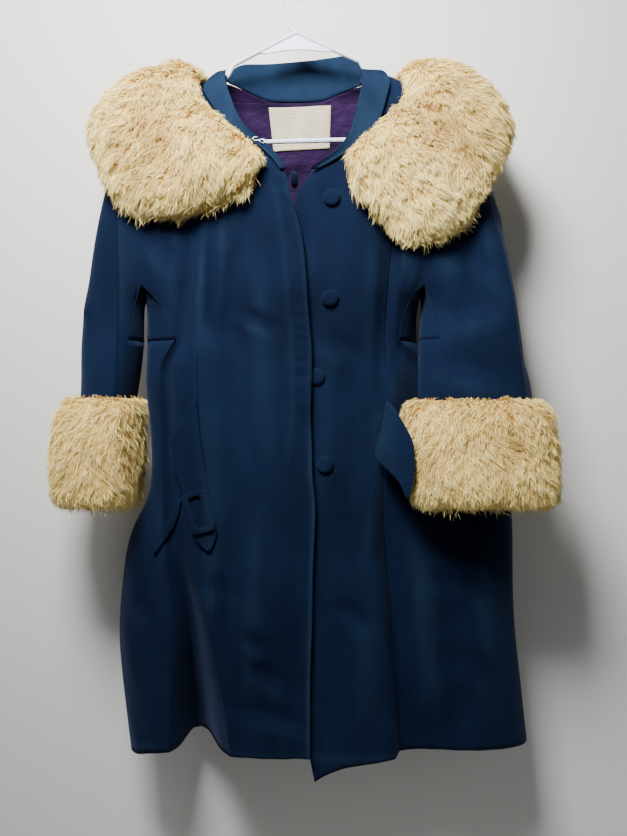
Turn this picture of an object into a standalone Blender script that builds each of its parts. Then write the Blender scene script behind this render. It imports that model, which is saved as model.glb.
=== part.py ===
"""A woman's swing coat on a plastic hanger, with a fur cape collar and fur cuffs.

The coat is velveteen, cut with kimono sleeves: each sleeve is one with the side front and the
back, and a gusset joins them under the arm. It hangs flat, open at the neck, its front edges
lapped wearer's right over left. The cloth is a wall worked out from level sections: above the
armpit one ring goes round both sleeves, and below it one ring goes round the body and one round
each sleeve. The tables are in millimetres, +X to the wearer's left, -Y to the front, +Z up, and
the origin is the inner top of the hanger's hook, where a rod holds it.
"""

import math

import bmesh
import bpy
import numpy as np
from mathutils import Vector
from mathutils.bvhtree import BVHTree

MM = 0.001

WALL = 3.0  # velveteen, interlining and lining together
LINING_WALL = 1.0
SEAM_GAP = 0.3
REST_GAP = 0.9  # between a piece and what it lies on
LAP_DEPTH = 12.0  # how far the under front lies behind the over front

ARMPIT_Z = -451.0
GUSSET_END_Z = -530.0
HEM_Z = -1117.0
UPPER_ROWS = (-142, -150, -163, -180, -200, -225, -255, -290, -330, -370, -410, ARMPIT_Z)
GUSSET_ROWS = (ARMPIT_Z, -475, -500, GUSSET_END_Z)
BODY_ROWS = (GUSSET_END_Z, -565, -600, -640, -680, -720, -760, -800, -840, -880, -920, -960,
             -1000, -1040, -1080, HEM_Z)
SLEEVE_ROWS = (GUSSET_END_Z, -565, -600, -640, -690, -755)
FINE_STEPS = 90  # samples along a section before its columns are spaced out

# Column counts between the seams and corners of a section.
SEAM_TO_ARM = 5
ARM_TO_PRINCESS = 9
PRINCESS_TO_EDGE = 6
SIDE_TO_CORNER = 4
BACK_SHOULDER = 6
BACK_NECK = 4
OUTER_SLEEVE = 7

# The hanger, in its own frame: distances out from its centre, heights below the hook's inner top.
HANGER_TILT = math.radians(1.5)
HANGER_CENTRE_X = 7.0
TUBE_RADIUS = 3.5
HOOK_TUBE_RADIUS = 3.2
HOOK_RADIUS = 20.0
APEX_Z = -75.0
ARM_SLOPE = 0.493
NOTCH_INNER = (93.0, -120.1)
NOTCH_OUTER = (101.5, -136.0)
ARM_TIP = 200.0
BAR_Z = -234.0
BEND_RADIUS = 20.0

# Sections of both sleeves and the yoke together: height, outer ends, depth of the ends,
# depth in front of and behind them, and squareness of the ring.
YOKE_SECTIONS = (
    # z, left, right, y_left, y_right, front, back, square
    (-142, -115, 152, 0, 0, 25, 41, 2.0),
    (-150, -130, 168, 0, 0, 28, 42, 2.0),
    (-163, -155, 197, 0, 0, 33, 44, 2.0),
    (-180, -189, 234, 0, 0, 38, 46, 2.0),
    (-200, -222, 262, 0, 0, 43, 47, 2.0),
    (-225, -246, 278, 0, -1, 48, 48, 2.1),
    (-255, -258, 287, 0, -3, 53, 50, 2.2),
    (-290, -267, 294, -1, -6, 56, 54, 2.3),
    (-330, -277, 303, -3, -10, 55, 56, 2.4),
    (-370, -285, 312, -5, -15, 52, 58, 2.5),
    (-410, -291, 319, -7, -21, 49, 60, 2.7),
    (ARMPIT_Z, -296, 325, -9, -27, 46, 62, 2.9),
)

BODY_SECTIONS = (
    # z, left, right, y_left, y_right, front, back, square
    (-475, -208, 187, 0, -4, 60, 50, 4.2),
    (-500, -208, 184, 0, 3, 62, 48, 3.6),
    (-530, -208, 188, 0, 12, 66, 45, 3.2),
    (-565, -210, 207, 0, 20, 70, 42, 2.9),
    (-600, -211, 238, 0, 25, 73, 40, 2.8),
    (-640, -205, 270, 0, 25, 73, 41, 2.7),
    (-680, -202, 297, 0, 23, 73, 43, 2.6),
    (-720, -202, 316, 2, 20, 73, 46, 2.5),
    (-760, -207, 327, 3, 18, 73, 48, 2.4),
    (-800, -233, 330, 5, 16, 73, 50, 2.3),
    (-880, -247, 330, 8, 15, 74, 55, 2.2),
    (-960, -253, 334, 12, 16, 76, 60, 2.2),
    (-1040, -246, 343, 15, 18, 78, 65, 2.2),
    (HEM_Z, -236, 352, 18, 20, 80, 72, 2.2),
)

SLEEVE_SECTIONS = {
    # z, left, right, y_left, y_right, front, back, square
    "right": (
        (-475, -299, -214, -8, -9, 41, 45, 3.2),
        (-500, -301, -214, -7, -9, 45, 46, 2.9),
        (-530, -303, -214, -7, -9, 51, 49, 2.6),
        (-565, -303, -217, -8, -10, 57, 53, 2.4),
        (-600, -302, -222, -10, -11, 60, 56, 2.4),
        (-640, -305, -230, -12, -13, 61, 57, 2.4),
        (-690, -311, -231, -14, -14, 61, 57, 2.4),
        (-755, -313, -234, -15, -15, 60, 56, 2.4),
    ),
    "left": (
        (-475, 191, 327, -16, -27, 43, 44, 2.8),
        (-500, 188, 329, -27, -34, 43, 42, 2.6),
        (-530, 184, 332, -39, -42, 41, 36, 2.4),
        (-565, 182, 335, -50, -49, 37, 33, 2.3),
        (-600, 181, 340, -58, -56, 33, 30, 2.3),
        (-640, 181, 345, -65, -63, 29, 27, 2.3),
        (-690, 186, 351, -69, -68, 26, 24, 2.3),
        (-755, 190, 355, -72, -71, 24, 23, 2.3),
    ),
}

# Seams and edges, each a line of heights and places across the front.
OVER_EDGE = (
    # z, x
    (-136, -91), (-150, -92), (-185, -82), (-214, -71), (-235, -56), (-250, -36), (-270, -16),
    (-286, -6), (-303, 0), (-322, -1), (-345, 11), (-393, 20), (-432, 24), (-496, 28), (-545, 33),
    (-597, 32), (-618, 30), (-657, 31), (-681, 33), (-717, 32), (-751, 38), (-797, 37),
    (-843, 34), (-923, 33), (-1007, 30), (-1117, 30),
)
UNDER_EDGE = (
    # z, x
    (-136, 103), (-155, 104), (-191, 97), (-219, 91), (-247, 82), (-266, 68), (-283, 42),
    (-302, 18), (-316, 6), (-345, 5), (-393, 9), (-472, 11), (-582, 7), (-706, 12), (-850, 10),
    (-1000, 15), (-1060, 22), (-1117, 36),
)
PRINCESS_SEAM = {
    # z, x
    "right": ((-142, -102), (-150, -110), (-163, -119), (-180, -128), (-200, -136), (-225, -143),
              (-300, -148), (-371, -145), (-442, -136), (-503, -129), (-608, -127), (-765, -119),
              (-832, -113), (-898, -112), (-956, -109), (-1014, -97), (-1045, -91), (-1117, -82)),
    "left": ((-142, 127), (-150, 138), (-163, 150), (-180, 158), (-200, 162), (-225, 164),
             (-300, 158), (-386, 146), (-479, 138), (-524, 136), (-618, 138), (-727, 133),
             (-765, 133), (-839, 138), (-909, 145), (-969, 148), (-1050, 154), (-1117, 158)),
}
ARM_SHARE = {"right": 0.54, "left": 0.73}  # armpit column, from the outer end to the princess seam
BACK_ARMPIT_X = {"right": -210.0, "left": 190.0}
OVERARM_SEAM = {
    # z, distance in from the sleeve's outer end
    "right": ((-200, 0), (-225, 8), (-290, 26), (-368, 40), (-451, 56), (-530, 64), (-755, 62)),
    "left": ((-200, 0), (-225, 4), (-332, 14), (-451, 11), (-530, 12), (-755, 12)),
}
GUSSET_BODY = {"right": ((-451, -210), (-475, -187), (-500, -165), (-530, -160)),
               "left": ((-451, 190), (-475, 168), (-500, 158), (-530, 156))}
GUSSET_SLEEVE = {"right": ((-451, -210), (-475, -219), (-500, -224), (-530, -228), (-600, -231),
                           (-690, -241), (-755, -244)),
                 "left": ((-451, 190), (-475, 199), (-500, 205), (-530, 209), (-755, 213))}
BACK_NECK_X = {"right": ((-142, -90), (-150, -64), (-163, -34)),
               "left": ((-142, 104), (-150, 78), (-163, 48))}
CROTCH_RISE = 5.0
FOLD_COLUMNS = (3, 4, 6)  # from the side to the deep fold's lip, its floor and the seam
DEEP_FOLD = (
    # z, lip x, floor x
    (-530, -190, -182), (-600, -188, -176), (-720, -186, -173), (-790, -184, -170),
    (-845, -181, -162), (-905, -171, -149), (-968, -168, -144), (-1040, -170, -143),
    (-1117, -172, -143),
)

# Folds of the fronts: a soft trough down a line; a negative depth is a ridge.
FRONT_FOLDS = {
    # z, x, depth, width to the left, width to the right
    "pleat by the collar": ((-300, -106, 7, 16, 12), (-380, -101, 7, 15, 10),
                            (-450, -100, 0, 14, 10)),
    "bust tuck": ((-300, 152, 7, 16, 18), (-386, 146, 9, 14, 20), (-479, 139, 7, 12, 16),
                  (-560, 137, 0, 12, 14)),
    "soft ridge": ((-330, 108, -3, 22, 22), (-443, 98, -4, 20, 20), (-540, 86, 0, 20, 20)),
    "sleeve hollow": ((-455, 200, 0, 30, 60), (-480, 200, 8, 40, 60), (-530, 198, 22, 45, 70),
                      (-600, 203, 34, 66, 90), (-650, 206, 39, 78, 105), (-740, 208, 37, 80, 110),
                      (-790, 212, 22, 80, 110), (-860, 220, 0, 80, 90)),
    "sleeve front": ((-396, 207, 0, 22, 9), (-425, 199, 8, 22, 9), (-452, 191, 11, 22, 10)),
    "side fold": ((-460, -186, 0, 13, 16), (-520, -182, 9, 14, 17), (-600, -174, 14, 15, 18),
                  (-720, -172, 14, 14, 18), (-800, -170, 8, 14, 18), (-850, -164, 0, 14, 18)),
    "deep fold": ((-790, -168, 0, 16, 22), (-845, -162, 12, 17, 24), (-905, -148, 28, 20, 30),
                  (-968, -143, 50, 22, 40), (-1040, -142, 78, 24, 52), (-1117, -141, 104, 26, 62)),
    "seam fold": ((-600, 138, 0, 12, 30), (-690, 133, 8, 12, 34), (-765, 134, 14, 12, 50),
                  (-909, 147, 22, 14, 110), (-1003, 153, 27, 14, 140), (-1117, 162, 32, 15, 170)),
    "hip crease": ((-850, -200, 0, 8, 10), (-885, -194, 6, 8, 10), (-940, -190, 0, 8, 10)),
    "lap swell": ((-560, -30, 0, 60, 60), (-760, -25, -4, 70, 60), (-1117, -20, -3, 80, 60)),
}
BACK_FOLDS = {
    # z, x, depth, width to the left, width to the right
    "centre flute": ((-420, 20, 0, 40, 40), (-760, 24, 8, 50, 46), (-1117, 30, 20, 60, 56)),
    "left flute": ((-520, 150, 0, 36, 36), (-860, 168, 10, 44, 50), (-1117, 184, 22, 50, 56)),
    "right flute": ((-480, -96, 0, 36, 34), (-820, -110, 9, 44, 40), (-1117, -120, -10, 50, 44)),
    "armhole fold": ((-330, -180, 0, 22, 22), (-440, -176, 8, 24, 22), (-600, -160, 0, 24, 24)),
    "armhole fold, left": ((-330, 176, 0, 22, 22), (-450, 170, 9, 24, 24), (-620, 150, 0, 24, 24)),
}
HEM_DROP = {
    # x, drop at the hem
    "over": ((-240, -18), (-219, -12), (-187, -3), (-160, 0), (-150, 7), (-122, 7), (-105, 1),
             (-85, 0), (30, 0)),
    "under": ((30, -34), (41, -39), (50, -26), (64, -15), (97, -11), (121, -7), (142, -4),
              (160, 0), (352, 0)),
    "back": ((-240, -18), (-190, -6), (-100, 0), (352, 0)),
}
HEM_DROP_START = -1000.0

# Fur collar: a cape laid on the yoke. Places are a height and a share of the way in from the
# outer line of the yoke to its middle; the fur's pile stands off the cloth by its thickness.
COLLAR_STATIONS = {
    # side, inner z, inner share, outer z, outer share, pile at its middle
    "right": (("front", -280, 0.83, -298, 0.80, 13),
              ("front", -268, 0.80, -334, 0.72, 26),
              ("front", -248, 0.72, -352, 0.60, 32),
              ("front", -229, 0.61, -362, 0.46, 36),
              ("front", -212, 0.52, -366, 0.33, 37),
              ("front", -196, 0.42, -354, 0.20, 38),
              ("front", -180, 0.30, -330, 0.10, 38),
              ("front", -163, 0.17, -296, 0.03, 42),
              ("front", -150, 0.05, -262, 0.005, 47),
              ("back", -148, 0.04, -252, 0.005, 47),
              ("back", -150, 0.24, -268, 0.10, 40),
              ("back", -146, 0.42, -290, 0.30, 35),
              ("back", -132, 0.66, -306, 0.60, 32)),
    "left": (("front", -279, 0.77, -302, 0.745, 13),
             ("front", -262, 0.71, -336, 0.71, 26),
             ("front", -246, 0.67, -372, 0.63, 32),
             ("front", -232, 0.60, -398, 0.53, 36),
             ("front", -216, 0.53, -405, 0.43, 38),
             ("front", -198, 0.44, -392, 0.31, 39),
             ("front", -180, 0.33, -360, 0.18, 40),
             ("front", -163, 0.19, -310, 0.06, 43),
             ("front", -148, 0.05, -258, 0.005, 48),
             ("back", -146, 0.04, -250, 0.005, 48),
             ("back", -148, 0.24, -268, 0.10, 40),
             ("back", -144, 0.42, -290, 0.30, 35),
             ("back", -130, 0.66, -306, 0.60, 32)),
}
COLLAR_BACK_STATION = ("back", -122, 1.0, -312, 1.0, 31)
COLLAR_SHARES = (0.0, 0.06, 0.2, 0.4, 0.6, 0.8, 0.94, 1.0)
COLLAR_PILE_SHAPE = (0.34, 0.66, 0.93, 1.0, 1.0, 0.93, 0.64, 0.30)

# Collar stand: angle round the neck from its left end to its right end, and its edges.
STAND_STATIONS = (
    # x, top z
    (-89, -126), (-80, -114), (-64, -107), (-34, -104), (7, -101), (48, -96.5), (78, -93),
    (94, -96), (103, -112),
)
STAND_FRONT_ENDS = ((-93, 8, -134), (106, 8, -120))
STAND_SEAM = 0.8
STAND_ROLL = 3.0  # how far its top edge leans back

FACING_WIDTH = {
    # z, width from the neck edge out to the fur
    "right": ((-136, 9), (-150, 26), (-167, 36), (-204, 28), (-226, 24), (-245, 16), (-270, 12),
              (-300, 7)),
    "left": ((-136, 30), (-150, 40), (-191, 39), (-225, 36), (-250, 22), (-270, 16), (-300, 7)),
}
FACING_ROWS = (-138, -144, -152, -163, -176, -190, -205, -220, -235, -250, -264, -278, -292)
FACING_WALL = 2.5
FACING_COLUMNS = 4
ROLL_HEIGHT = 3.0  # how far the neck edge's roll stands proud

CUFF_ROWS = (
    # share down the cuff, share of the full pile
    (0.0, 0.30), (0.04, 0.66), (0.13, 0.90), (0.30, 1.0), (0.50, 1.0), (0.70, 1.0),
    (0.87, 0.92), (0.96, 0.68), (1.0, 0.32),
)
CUFFS = {
    # side: top, bottom, pile outwards, inwards, in front, behind
    "right": (-609, -769, 32, 18, 33, 24),
    "left": (-613, -767, 29, 26, 34, 15),
}
CUFF_LINING_GAP = 2.8

# Belt tabs: left and right ends of each section down the tab.
TAB_RIGHT_SECTIONS = (
    # left x, left z, right x, right z
    (-137, -620, -130, -614), (-155, -650, -127, -642), (-168, -676, -124, -672),
    (-166, -706, -120, -700), (-151, -742, -114, -734), (-143, -777, -107, -768),
    (-134, -808, -100, -799), (-114, -827, -109, -825),
)
TAB_LEFT_SECTIONS = (
    # left x, left y, left z, right x, right y, right z
    (136, -67, -616, 142, -69, -620), (129, -70, -655, 157, -98, -648),
    (119, -70, -690, 170, -109, -680), (134, -82, -709, 170, -109, -708),
    (151, -97, -727, 168, -108, -726), (159, -103, -748, 164, -106, -748),
)
TAB_WALL = 3.5
TAB_COLUMNS = 4
BUCKLE_CENTRE = (-126.0, -772.0)
BUCKLE_SIZE = (35.0, 60.0)
BUCKLE_BAR = 8.0
BUCKLE_THICKNESS = 3.5
BUCKLE_TURN = math.radians(17.5)

POCKETS = {
    # side: upper end x, z, lower end x, z
    "right": (-155, -755, -192, -832),
    "left": (204, -771, 290, -812),
}
WELT_WIDTH = 11.0
WELT_WALL = 2.0
WELT_LIFT = 1.3

BUTTON_RADIUS = 12.5
BUTTON_HEIGHT = 5.5
BUTTON_PLACES = ((60, -332), (58, -472), (39, -582), (51, -706))
TOP_BUTTON_PLACE = (30, -330)
TOP_BUTTON_FRAME = ((5.0, -46.0, -303.0), (0.36, 0.93, 0.0), (0.0, 0.0, 1.0), (0.93, -0.36, 0.0))
BUTTON_PROFILE = ((0.0, 1.0), (0.55, 0.94), (0.80, 0.80), (0.96, 0.52), (1.0, 0.26), (0.88, 0.0),
                  (0.0, 0.0))
BUTTON_SEGMENTS = 18

LABEL_CORNERS = ((-33, -172), (61, -169), (59, -232), (-26, -237))
LABEL_WALL = 1.0

PAINT = {
    # name: base colour, roughness
    "velveteen": ((0.012, 0.030, 0.085), 0.9),
    "stand": ((0.018, 0.045, 0.075), 0.9),
    "fur": ((0.80, 0.68, 0.42), 0.95),
    "satin": ((0.075, 0.020, 0.150), 0.35),
    "label": ((0.62, 0.56, 0.38), 0.6),
    "plastic": ((0.82, 0.82, 0.92), 0.35),
}


def smooth(z, table, column=1):
    """A table's column at the heights z, on a smooth curve through its rows."""
    rows = sorted((row[0], row[column]) for row in table)
    place = np.array([row[0] for row in rows], float)
    value = np.array([row[1] for row in rows], float)
    if len(place) == 1:
        return np.full_like(np.asarray(z, float), value[0])
    steps = np.diff(value) / np.diff(place)
    slope = np.zeros_like(value)
    same = steps[:-1] * steps[1:] > 0
    slope[1:-1][same] = 2 * steps[:-1][same] * steps[1:][same] / (steps[:-1] + steps[1:])[same]
    slope[0], slope[-1] = steps[0], steps[-1]
    z = np.clip(np.asarray(z, float), place[0], place[-1])
    k = np.clip(np.searchsorted(place, z) - 1, 0, len(place) - 2)
    width = place[k + 1] - place[k]
    t = (z - place[k]) / width
    return (value[k] * (1 + 2 * t) * (1 - t) ** 2 + value[k + 1] * t * t * (3 - 2 * t)
            + width * (slope[k] * t * (1 - t) ** 2 + slope[k + 1] * t * t * (t - 1)))


def step(t):
    """A soft step from 0 to 1."""
    t = np.clip(t, 0.0, 1.0)
    return t * t * (3 - 2 * t)


def fold_depth(folds, x, z):
    """The sum of a sheet's folds at places x, z, inwards positive."""
    total = np.zeros_like(np.asarray(x, float))
    for rows in folds.values():
        heights = [row[0] for row in rows]
        inside = (z <= max(heights) + 1e-9) & (z >= min(heights) - 1e-9)
        centre, depth, left, right = (smooth(z, rows, k) for k in (1, 2, 3, 4))
        away = np.where(x < centre, (centre - x) / left, (x - centre) / right)
        total = total + np.where(inside, depth * (1 - step(away)), 0.0)
    return total


class Ring:
    """A level section of the cloth: a superellipse with folds, its angle from the outer end."""

    def __init__(self, sections, z, side, folded=True, lap=False):
        self.z = z
        self.side = side
        self.folded = folded
        self.lap = lap
        columns = [float(smooth(z, sections, k)) for k in range(1, 8)]
        self.left, self.right, self.y_left, self.y_right = columns[:4]
        self.front, self.back, self.square = columns[4:]
        self.centre = (self.left + self.right) / 2
        self.half = (self.right - self.left) / 2

    def angle_at(self, x):
        """The angle, on the front, of the point above x."""
        u = float(np.clip((x - self.centre) / self.half, -1, 1))
        angle = math.acos(-math.copysign(abs(u) ** (self.square / 2), u))
        return angle if self.side == "right" else math.pi - angle

    def points(self, angle):
        """Points at angles from the outer end: positive in front, negative behind."""
        turn = np.asarray(angle, float)
        turn = turn if self.side == "right" else math.pi - turn
        cosine, sine = np.cos(turn), np.sin(turn)
        power = 2 / self.square
        u = -np.sign(cosine) * np.abs(cosine) ** power
        depth = np.abs(sine) ** power
        x = self.centre + self.half * u
        ends = self.y_left + (self.y_right - self.y_left) * (u + 1) / 2
        fade = step(depth / 0.75) if self.folded else 0.0
        z = np.full_like(x, self.z)
        front = ends - self.front * depth + fold_depth(FRONT_FOLDS, x, z) * fade
        back = ends + self.back * depth - fold_depth(BACK_FOLDS, x, z) * fade
        if self.lap:
            edge = smooth(z, OVER_EDGE)
            front = front + LAP_DEPTH * (1 - step((x - edge - 4) / 34))
        y = np.where(sine >= 0, front, back)
        fall = step((HEM_DROP_START - z) / (HEM_DROP_START - HEM_Z))
        sheet = np.where(sine < 0, smooth(x, HEM_DROP["back"]),
                         smooth(x, HEM_DROP["under" if self.side == "left" else "over"]))
        return np.stack([x, y, z + sheet * fall], -1)

    def span(self, start, end, columns):
        """Points between two angles, evenly spaced along the cloth."""
        points = self.points(np.linspace(start, end, FINE_STEPS))
        return spaced(points, columns)


def spaced(points, columns):
    """A line's points again, evenly spaced along it."""
    length = np.concatenate([[0], np.cumsum(np.linalg.norm(np.diff(points, axis=0), axis=1))])
    wanted = np.linspace(0, length[-1], columns + 1)
    return np.stack([np.interp(wanted, length, points[:, k]) for k in range(3)], -1)


def yoke(z, side):
    """The section at a height above the armpit."""
    return Ring(YOKE_SECTIONS, z, side, lap=side == "left")


def body(z, side):
    """The body's section at a height below the armpit."""
    return Ring(BODY_SECTIONS, z, side, lap=side == "left")


def sleeve(z, side):
    """A sleeve's section at a height below the armpit."""
    return Ring(SLEEVE_SECTIONS[side], z, side, folded=False)


def marks(z, side):
    """Angles of the seams on the yoke's section: overarm, armpit, princess, edge, back armpit."""
    ring = yoke(z, side)
    outer = ring.left if side == "right" else ring.right
    inward = 1 if side == "right" else -1
    princess_x = float(smooth(z, PRINCESS_SEAM[side]))
    arm_x = outer + ARM_SHARE[side] * (princess_x - outer)
    edge = OVER_EDGE if side == "right" else UNDER_EDGE
    seam_in = float(smooth(z, OVERARM_SEAM[side]))
    back_share = (BACK_ARMPIT_X[side] - YOKE_SECTIONS[-1][1 if side == "right" else 2])
    back_share /= PRINCESS_SEAM_AT_ARMPIT[side] - YOKE_SECTIONS[-1][1 if side == "right" else 2]
    back_x = outer + back_share * (princess_x - outer)
    return {
        "seam": ring.angle_at(outer + inward * seam_in) if seam_in > 0 else 0.0,
        "arm": ring.angle_at(arm_x),
        "princess": ring.angle_at(princess_x),
        "edge": ring.angle_at(float(smooth(z, edge))),
        "back": -ring.angle_at(back_x),
    }


PRINCESS_SEAM_AT_ARMPIT = {side: float(smooth(ARMPIT_Z, PRINCESS_SEAM[side]))
                           for side in ("right", "left")}


def crotch(side, start, end, columns):
    """The armpit's line from the front sheet, 0, to the back sheet, 1."""
    ring, at = yoke(ARMPIT_Z, side), marks(ARMPIT_Z, side)
    front, back = ring.points(np.array([at["arm"], at["back"]]))
    share = np.linspace(start, end, columns + 1)[:, None]
    line = front * (1 - share) + back * share
    line[:, 2] += CROTCH_RISE * np.sin(math.pi * share[:, 0])
    return line


def joined(*spans):
    """Neighbouring spans of one row as a single row."""
    return np.concatenate([spans[0]] + [part[1:] for part in spans[1:]])


def yoke_patches(side):
    """The yoke's patches of one side, from the shoulder to the armpit."""
    front_side, front_centre, outer = [], [], []
    for z in UPPER_ROWS:
        ring, at = yoke(z, side), marks(z, side)
        front_side.append(joined(ring.span(at["seam"], at["arm"], SEAM_TO_ARM),
                                 ring.span(at["arm"], at["princess"], ARM_TO_PRINCESS)))
        front_centre.append(ring.span(at["princess"], at["edge"], PRINCESS_TO_EDGE))
        outer.append(ring.span(at["back"], at["seam"], OUTER_SLEEVE))
    return np.array(front_side), np.array(front_centre), np.array(outer)


def back_neck_angle(z, side):
    """The angle of the neck's corner on the back, seen from one side."""
    ring = yoke(z, side)
    table = BACK_NECK_X[side]
    return -ring.angle_at(float(smooth(z, table)))


def back_yoke_patches():
    """The back's yoke: a patch beside the neck on each side and one right across below it."""
    beside = {}
    for side in ("right", "left"):
        rows = [z for z in UPPER_ROWS if z >= -163]
        beside[side] = np.array([yoke(z, side).span(back_neck_angle(z, side), marks(z, side)["back"],
                                                    BACK_SHOULDER) for z in rows])
    across = []
    for z in [z for z in UPPER_ROWS if z <= -163]:
        spans = {side: yoke(z, side).span(back_neck_angle(z, side), marks(z, side)["back"],
                                          BACK_SHOULDER) for side in ("right", "left")}
        ring = yoke(z, "right")
        start = ring.angle_at(float(smooth(-163, BACK_NECK_X["left"])))
        middle = ring.span(-start, back_neck_angle(z, "right"), BACK_NECK)
        across.append(joined(spans["left"][::-1], middle, spans["right"]))
    return beside, np.array(across)


def body_patches(side):
    """The body's patches of one side below the armpit, and its gusset's part."""
    gusset, side_top, centre_top, back_top = [], [], [], []
    for z in GUSSET_ROWS:
        ring = body(z, side) if z < ARMPIT_Z else yoke(z, side)
        princess = ring.angle_at(float(smooth(z, PRINCESS_SEAM[side])))
        edge = ring.angle_at(float(smooth(z, OVER_EDGE if side == "right" else UNDER_EDGE)))
        corner = ring.angle_at(float(smooth(z, GUSSET_BODY[side])))
        rear = -corner
        if z == ARMPIT_Z:
            at = marks(z, side)
            corner, rear = at["arm"], at["back"]
            gusset.append(joined(crotch(side, 1.0, 0.5, SIDE_TO_CORNER),
                                 crotch(side, 0.5, 0.0, SIDE_TO_CORNER)))
        else:
            gusset.append(joined(ring.span(rear, 0.0, SIDE_TO_CORNER),
                                 ring.span(0.0, corner, SIDE_TO_CORNER)))
        side_top.append(ring.span(corner, princess, ARM_TO_PRINCESS))
        centre_top.append(ring.span(princess, edge, PRINCESS_TO_EDGE))
        back_top.append(back_half(ring, rear, side))
    side_low, centre_low, back_low = [], [], []
    for z in BODY_ROWS:
        ring = body(z, side)
        princess = ring.angle_at(float(smooth(z, PRINCESS_SEAM[side])))
        edge = ring.angle_at(float(smooth(z, OVER_EDGE if side == "right" else UNDER_EDGE)))
        if z == GUSSET_END_Z:
            side_low.append(joined(gusset[-1][SIDE_TO_CORNER:], side_top[-1]))
            back_low.append(joined(back_top[-1], gusset[-1][:SIDE_TO_CORNER + 1]))
        else:
            side_low.append(side_columns(ring, z, princess, side))
            back_low.append(joined(back_half(ring, -0.9, side),
                                   ring.span(-0.9, 0.0, SIDE_TO_CORNER)))
        centre_low.append(ring.span(princess, edge, PRINCESS_TO_EDGE))
    return {name: np.array(rows) for name, rows in (
        ("gusset", gusset), ("side_top", side_top), ("centre_top", centre_top),
        ("back_top", back_top), ("side_low", side_low), ("centre_low", centre_low),
        ("back_low", back_low))}


def side_columns(ring, z, princess, side):
    """The side panel's columns; on the right they keep to the lines of its deep fold."""
    if side == "left":
        return ring.span(0.0, princess, SIDE_TO_CORNER + ARM_TO_PRINCESS)
    lip, floor = (ring.angle_at(float(smooth(z, DEEP_FOLD, k))) for k in (1, 2))
    first, second, third = FOLD_COLUMNS
    return joined(ring.span(0.0, lip, first), ring.span(lip, floor, second),
                  ring.span(floor, princess, third))


def back_half(ring, rear, side):
    """The back from the middle of its neck columns out to the armpit's column."""
    half_neck = BACK_NECK // 2
    middle_x = float(sum(smooth(-163, BACK_NECK_X[s]) for s in ("right", "left")) / 2)
    neck_x = float(smooth(-163, BACK_NECK_X[side]))
    middle, neck = -ring.angle_at(middle_x), -ring.angle_at(neck_x)
    return joined(ring.span(middle, neck, half_neck), ring.span(neck, rear, BACK_SHOULDER))


def sleeve_patches(side):
    """A sleeve's patches below the armpit: its front, its back and its part of the gusset."""
    front_top, gusset, outer_top = [], [], []
    inward = 1 if side == "right" else -1
    for z in GUSSET_ROWS:
        if z == ARMPIT_Z:
            ring, at = yoke(z, side), marks(z, side)
            front_top.append(ring.span(at["seam"], at["arm"], SEAM_TO_ARM))
            gusset.append(joined(crotch(side, 0.0, 0.5, SIDE_TO_CORNER),
                                 crotch(side, 0.5, 1.0, SIDE_TO_CORNER)))
            outer_top.append(ring.span(at["back"], at["seam"], OUTER_SLEEVE))
            continue
        ring = sleeve(z, side)
        seam, corner = sleeve_marks(ring, z, side, inward)
        front_top.append(ring.span(seam, corner, SEAM_TO_ARM))
        gusset.append(joined(ring.span(corner, math.pi, SIDE_TO_CORNER),
                             ring.span(math.pi, 2 * math.pi - corner, SIDE_TO_CORNER)))
        outer_top.append(ring.span(2 * math.pi - corner, 2 * math.pi + seam, OUTER_SLEEVE))
    front_low, back_low = [], []
    for z in SLEEVE_ROWS:
        ring = sleeve(z, side)
        seam, corner = sleeve_marks(ring, z, side, inward)
        front_low.append(joined(ring.span(seam, corner, SEAM_TO_ARM),
                                ring.span(corner, math.pi, SIDE_TO_CORNER)))
        back_low.append(joined(ring.span(math.pi, 2 * math.pi - corner, SIDE_TO_CORNER),
                               ring.span(2 * math.pi - corner, 2 * math.pi + seam, OUTER_SLEEVE)))
    return {name: np.array(rows) for name, rows in (
        ("front_top", front_top), ("gusset", gusset), ("outer_top", outer_top),
        ("front_low", front_low), ("back_low", back_low))}


def sleeve_marks(ring, z, side, inward):
    """Angles of a sleeve's overarm seam and of its gusset's front line."""
    outer = ring.left if side == "right" else ring.right
    seam = ring.angle_at(outer + inward * float(smooth(z, OVERARM_SEAM[side])))
    return seam, ring.angle_at(float(smooth(z, GUSSET_SLEEVE[side])))


def grid_faces(rows, columns, offset, flipped):
    """Quads of a grid of points, facing out."""
    faces = []
    for i in range(rows - 1):
        for j in range(columns - 1):
            a = offset + i * columns + j
            quad = (a, a + columns, a + columns + 1, a + 1)
            faces.append(quad[::-1] if flipped else quad)
    return faces


class Skin:
    """The coat's outer surface: patches that share their seams' points and normals."""

    def __init__(self):
        self.points, self.faces, self.patches, self.creases = [], [], {}, []

    def add(self, name, grid, side):
        """Adds a patch, given as rows of points; the left side's columns run the other way."""
        rows, columns = grid.shape[:2]
        faces = grid_faces(rows, columns, len(self.points), side == "left")
        self.patches[name] = faces
        self.points.extend(map(tuple, grid.reshape(-1, 3)))
        self.faces.extend(faces)

    def weld(self):
        """Merges the patches' shared points and works out the normals."""
        points = np.array(self.points)
        keys = {}
        index = np.array([keys.setdefault(tuple(key), len(keys))
                          for key in np.round(points, 2)])
        merged = np.zeros((len(keys), 3))
        merged[index] = points
        self.points = merged
        for name, faces in self.patches.items():
            self.patches[name] = clean_faces([tuple(index[list(face)]) for face in faces])
        normals = np.zeros_like(merged)
        for faces in self.patches.values():
            for face in faces:
                a, b, c = (merged[face[k]] for k in (0, 1, 2))
                d = merged[face[-1]]
                normals[list(face)] += np.cross(c - a, d - b if len(face) == 4 else c - b)
        for point, normal in self.creases:
            key = tuple(np.round(point, 2))
            normals[keys[key]] = normal
        length = np.linalg.norm(normals, axis=1, keepdims=True)
        self.normals = normals / np.maximum(length, 1e-9)


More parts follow.
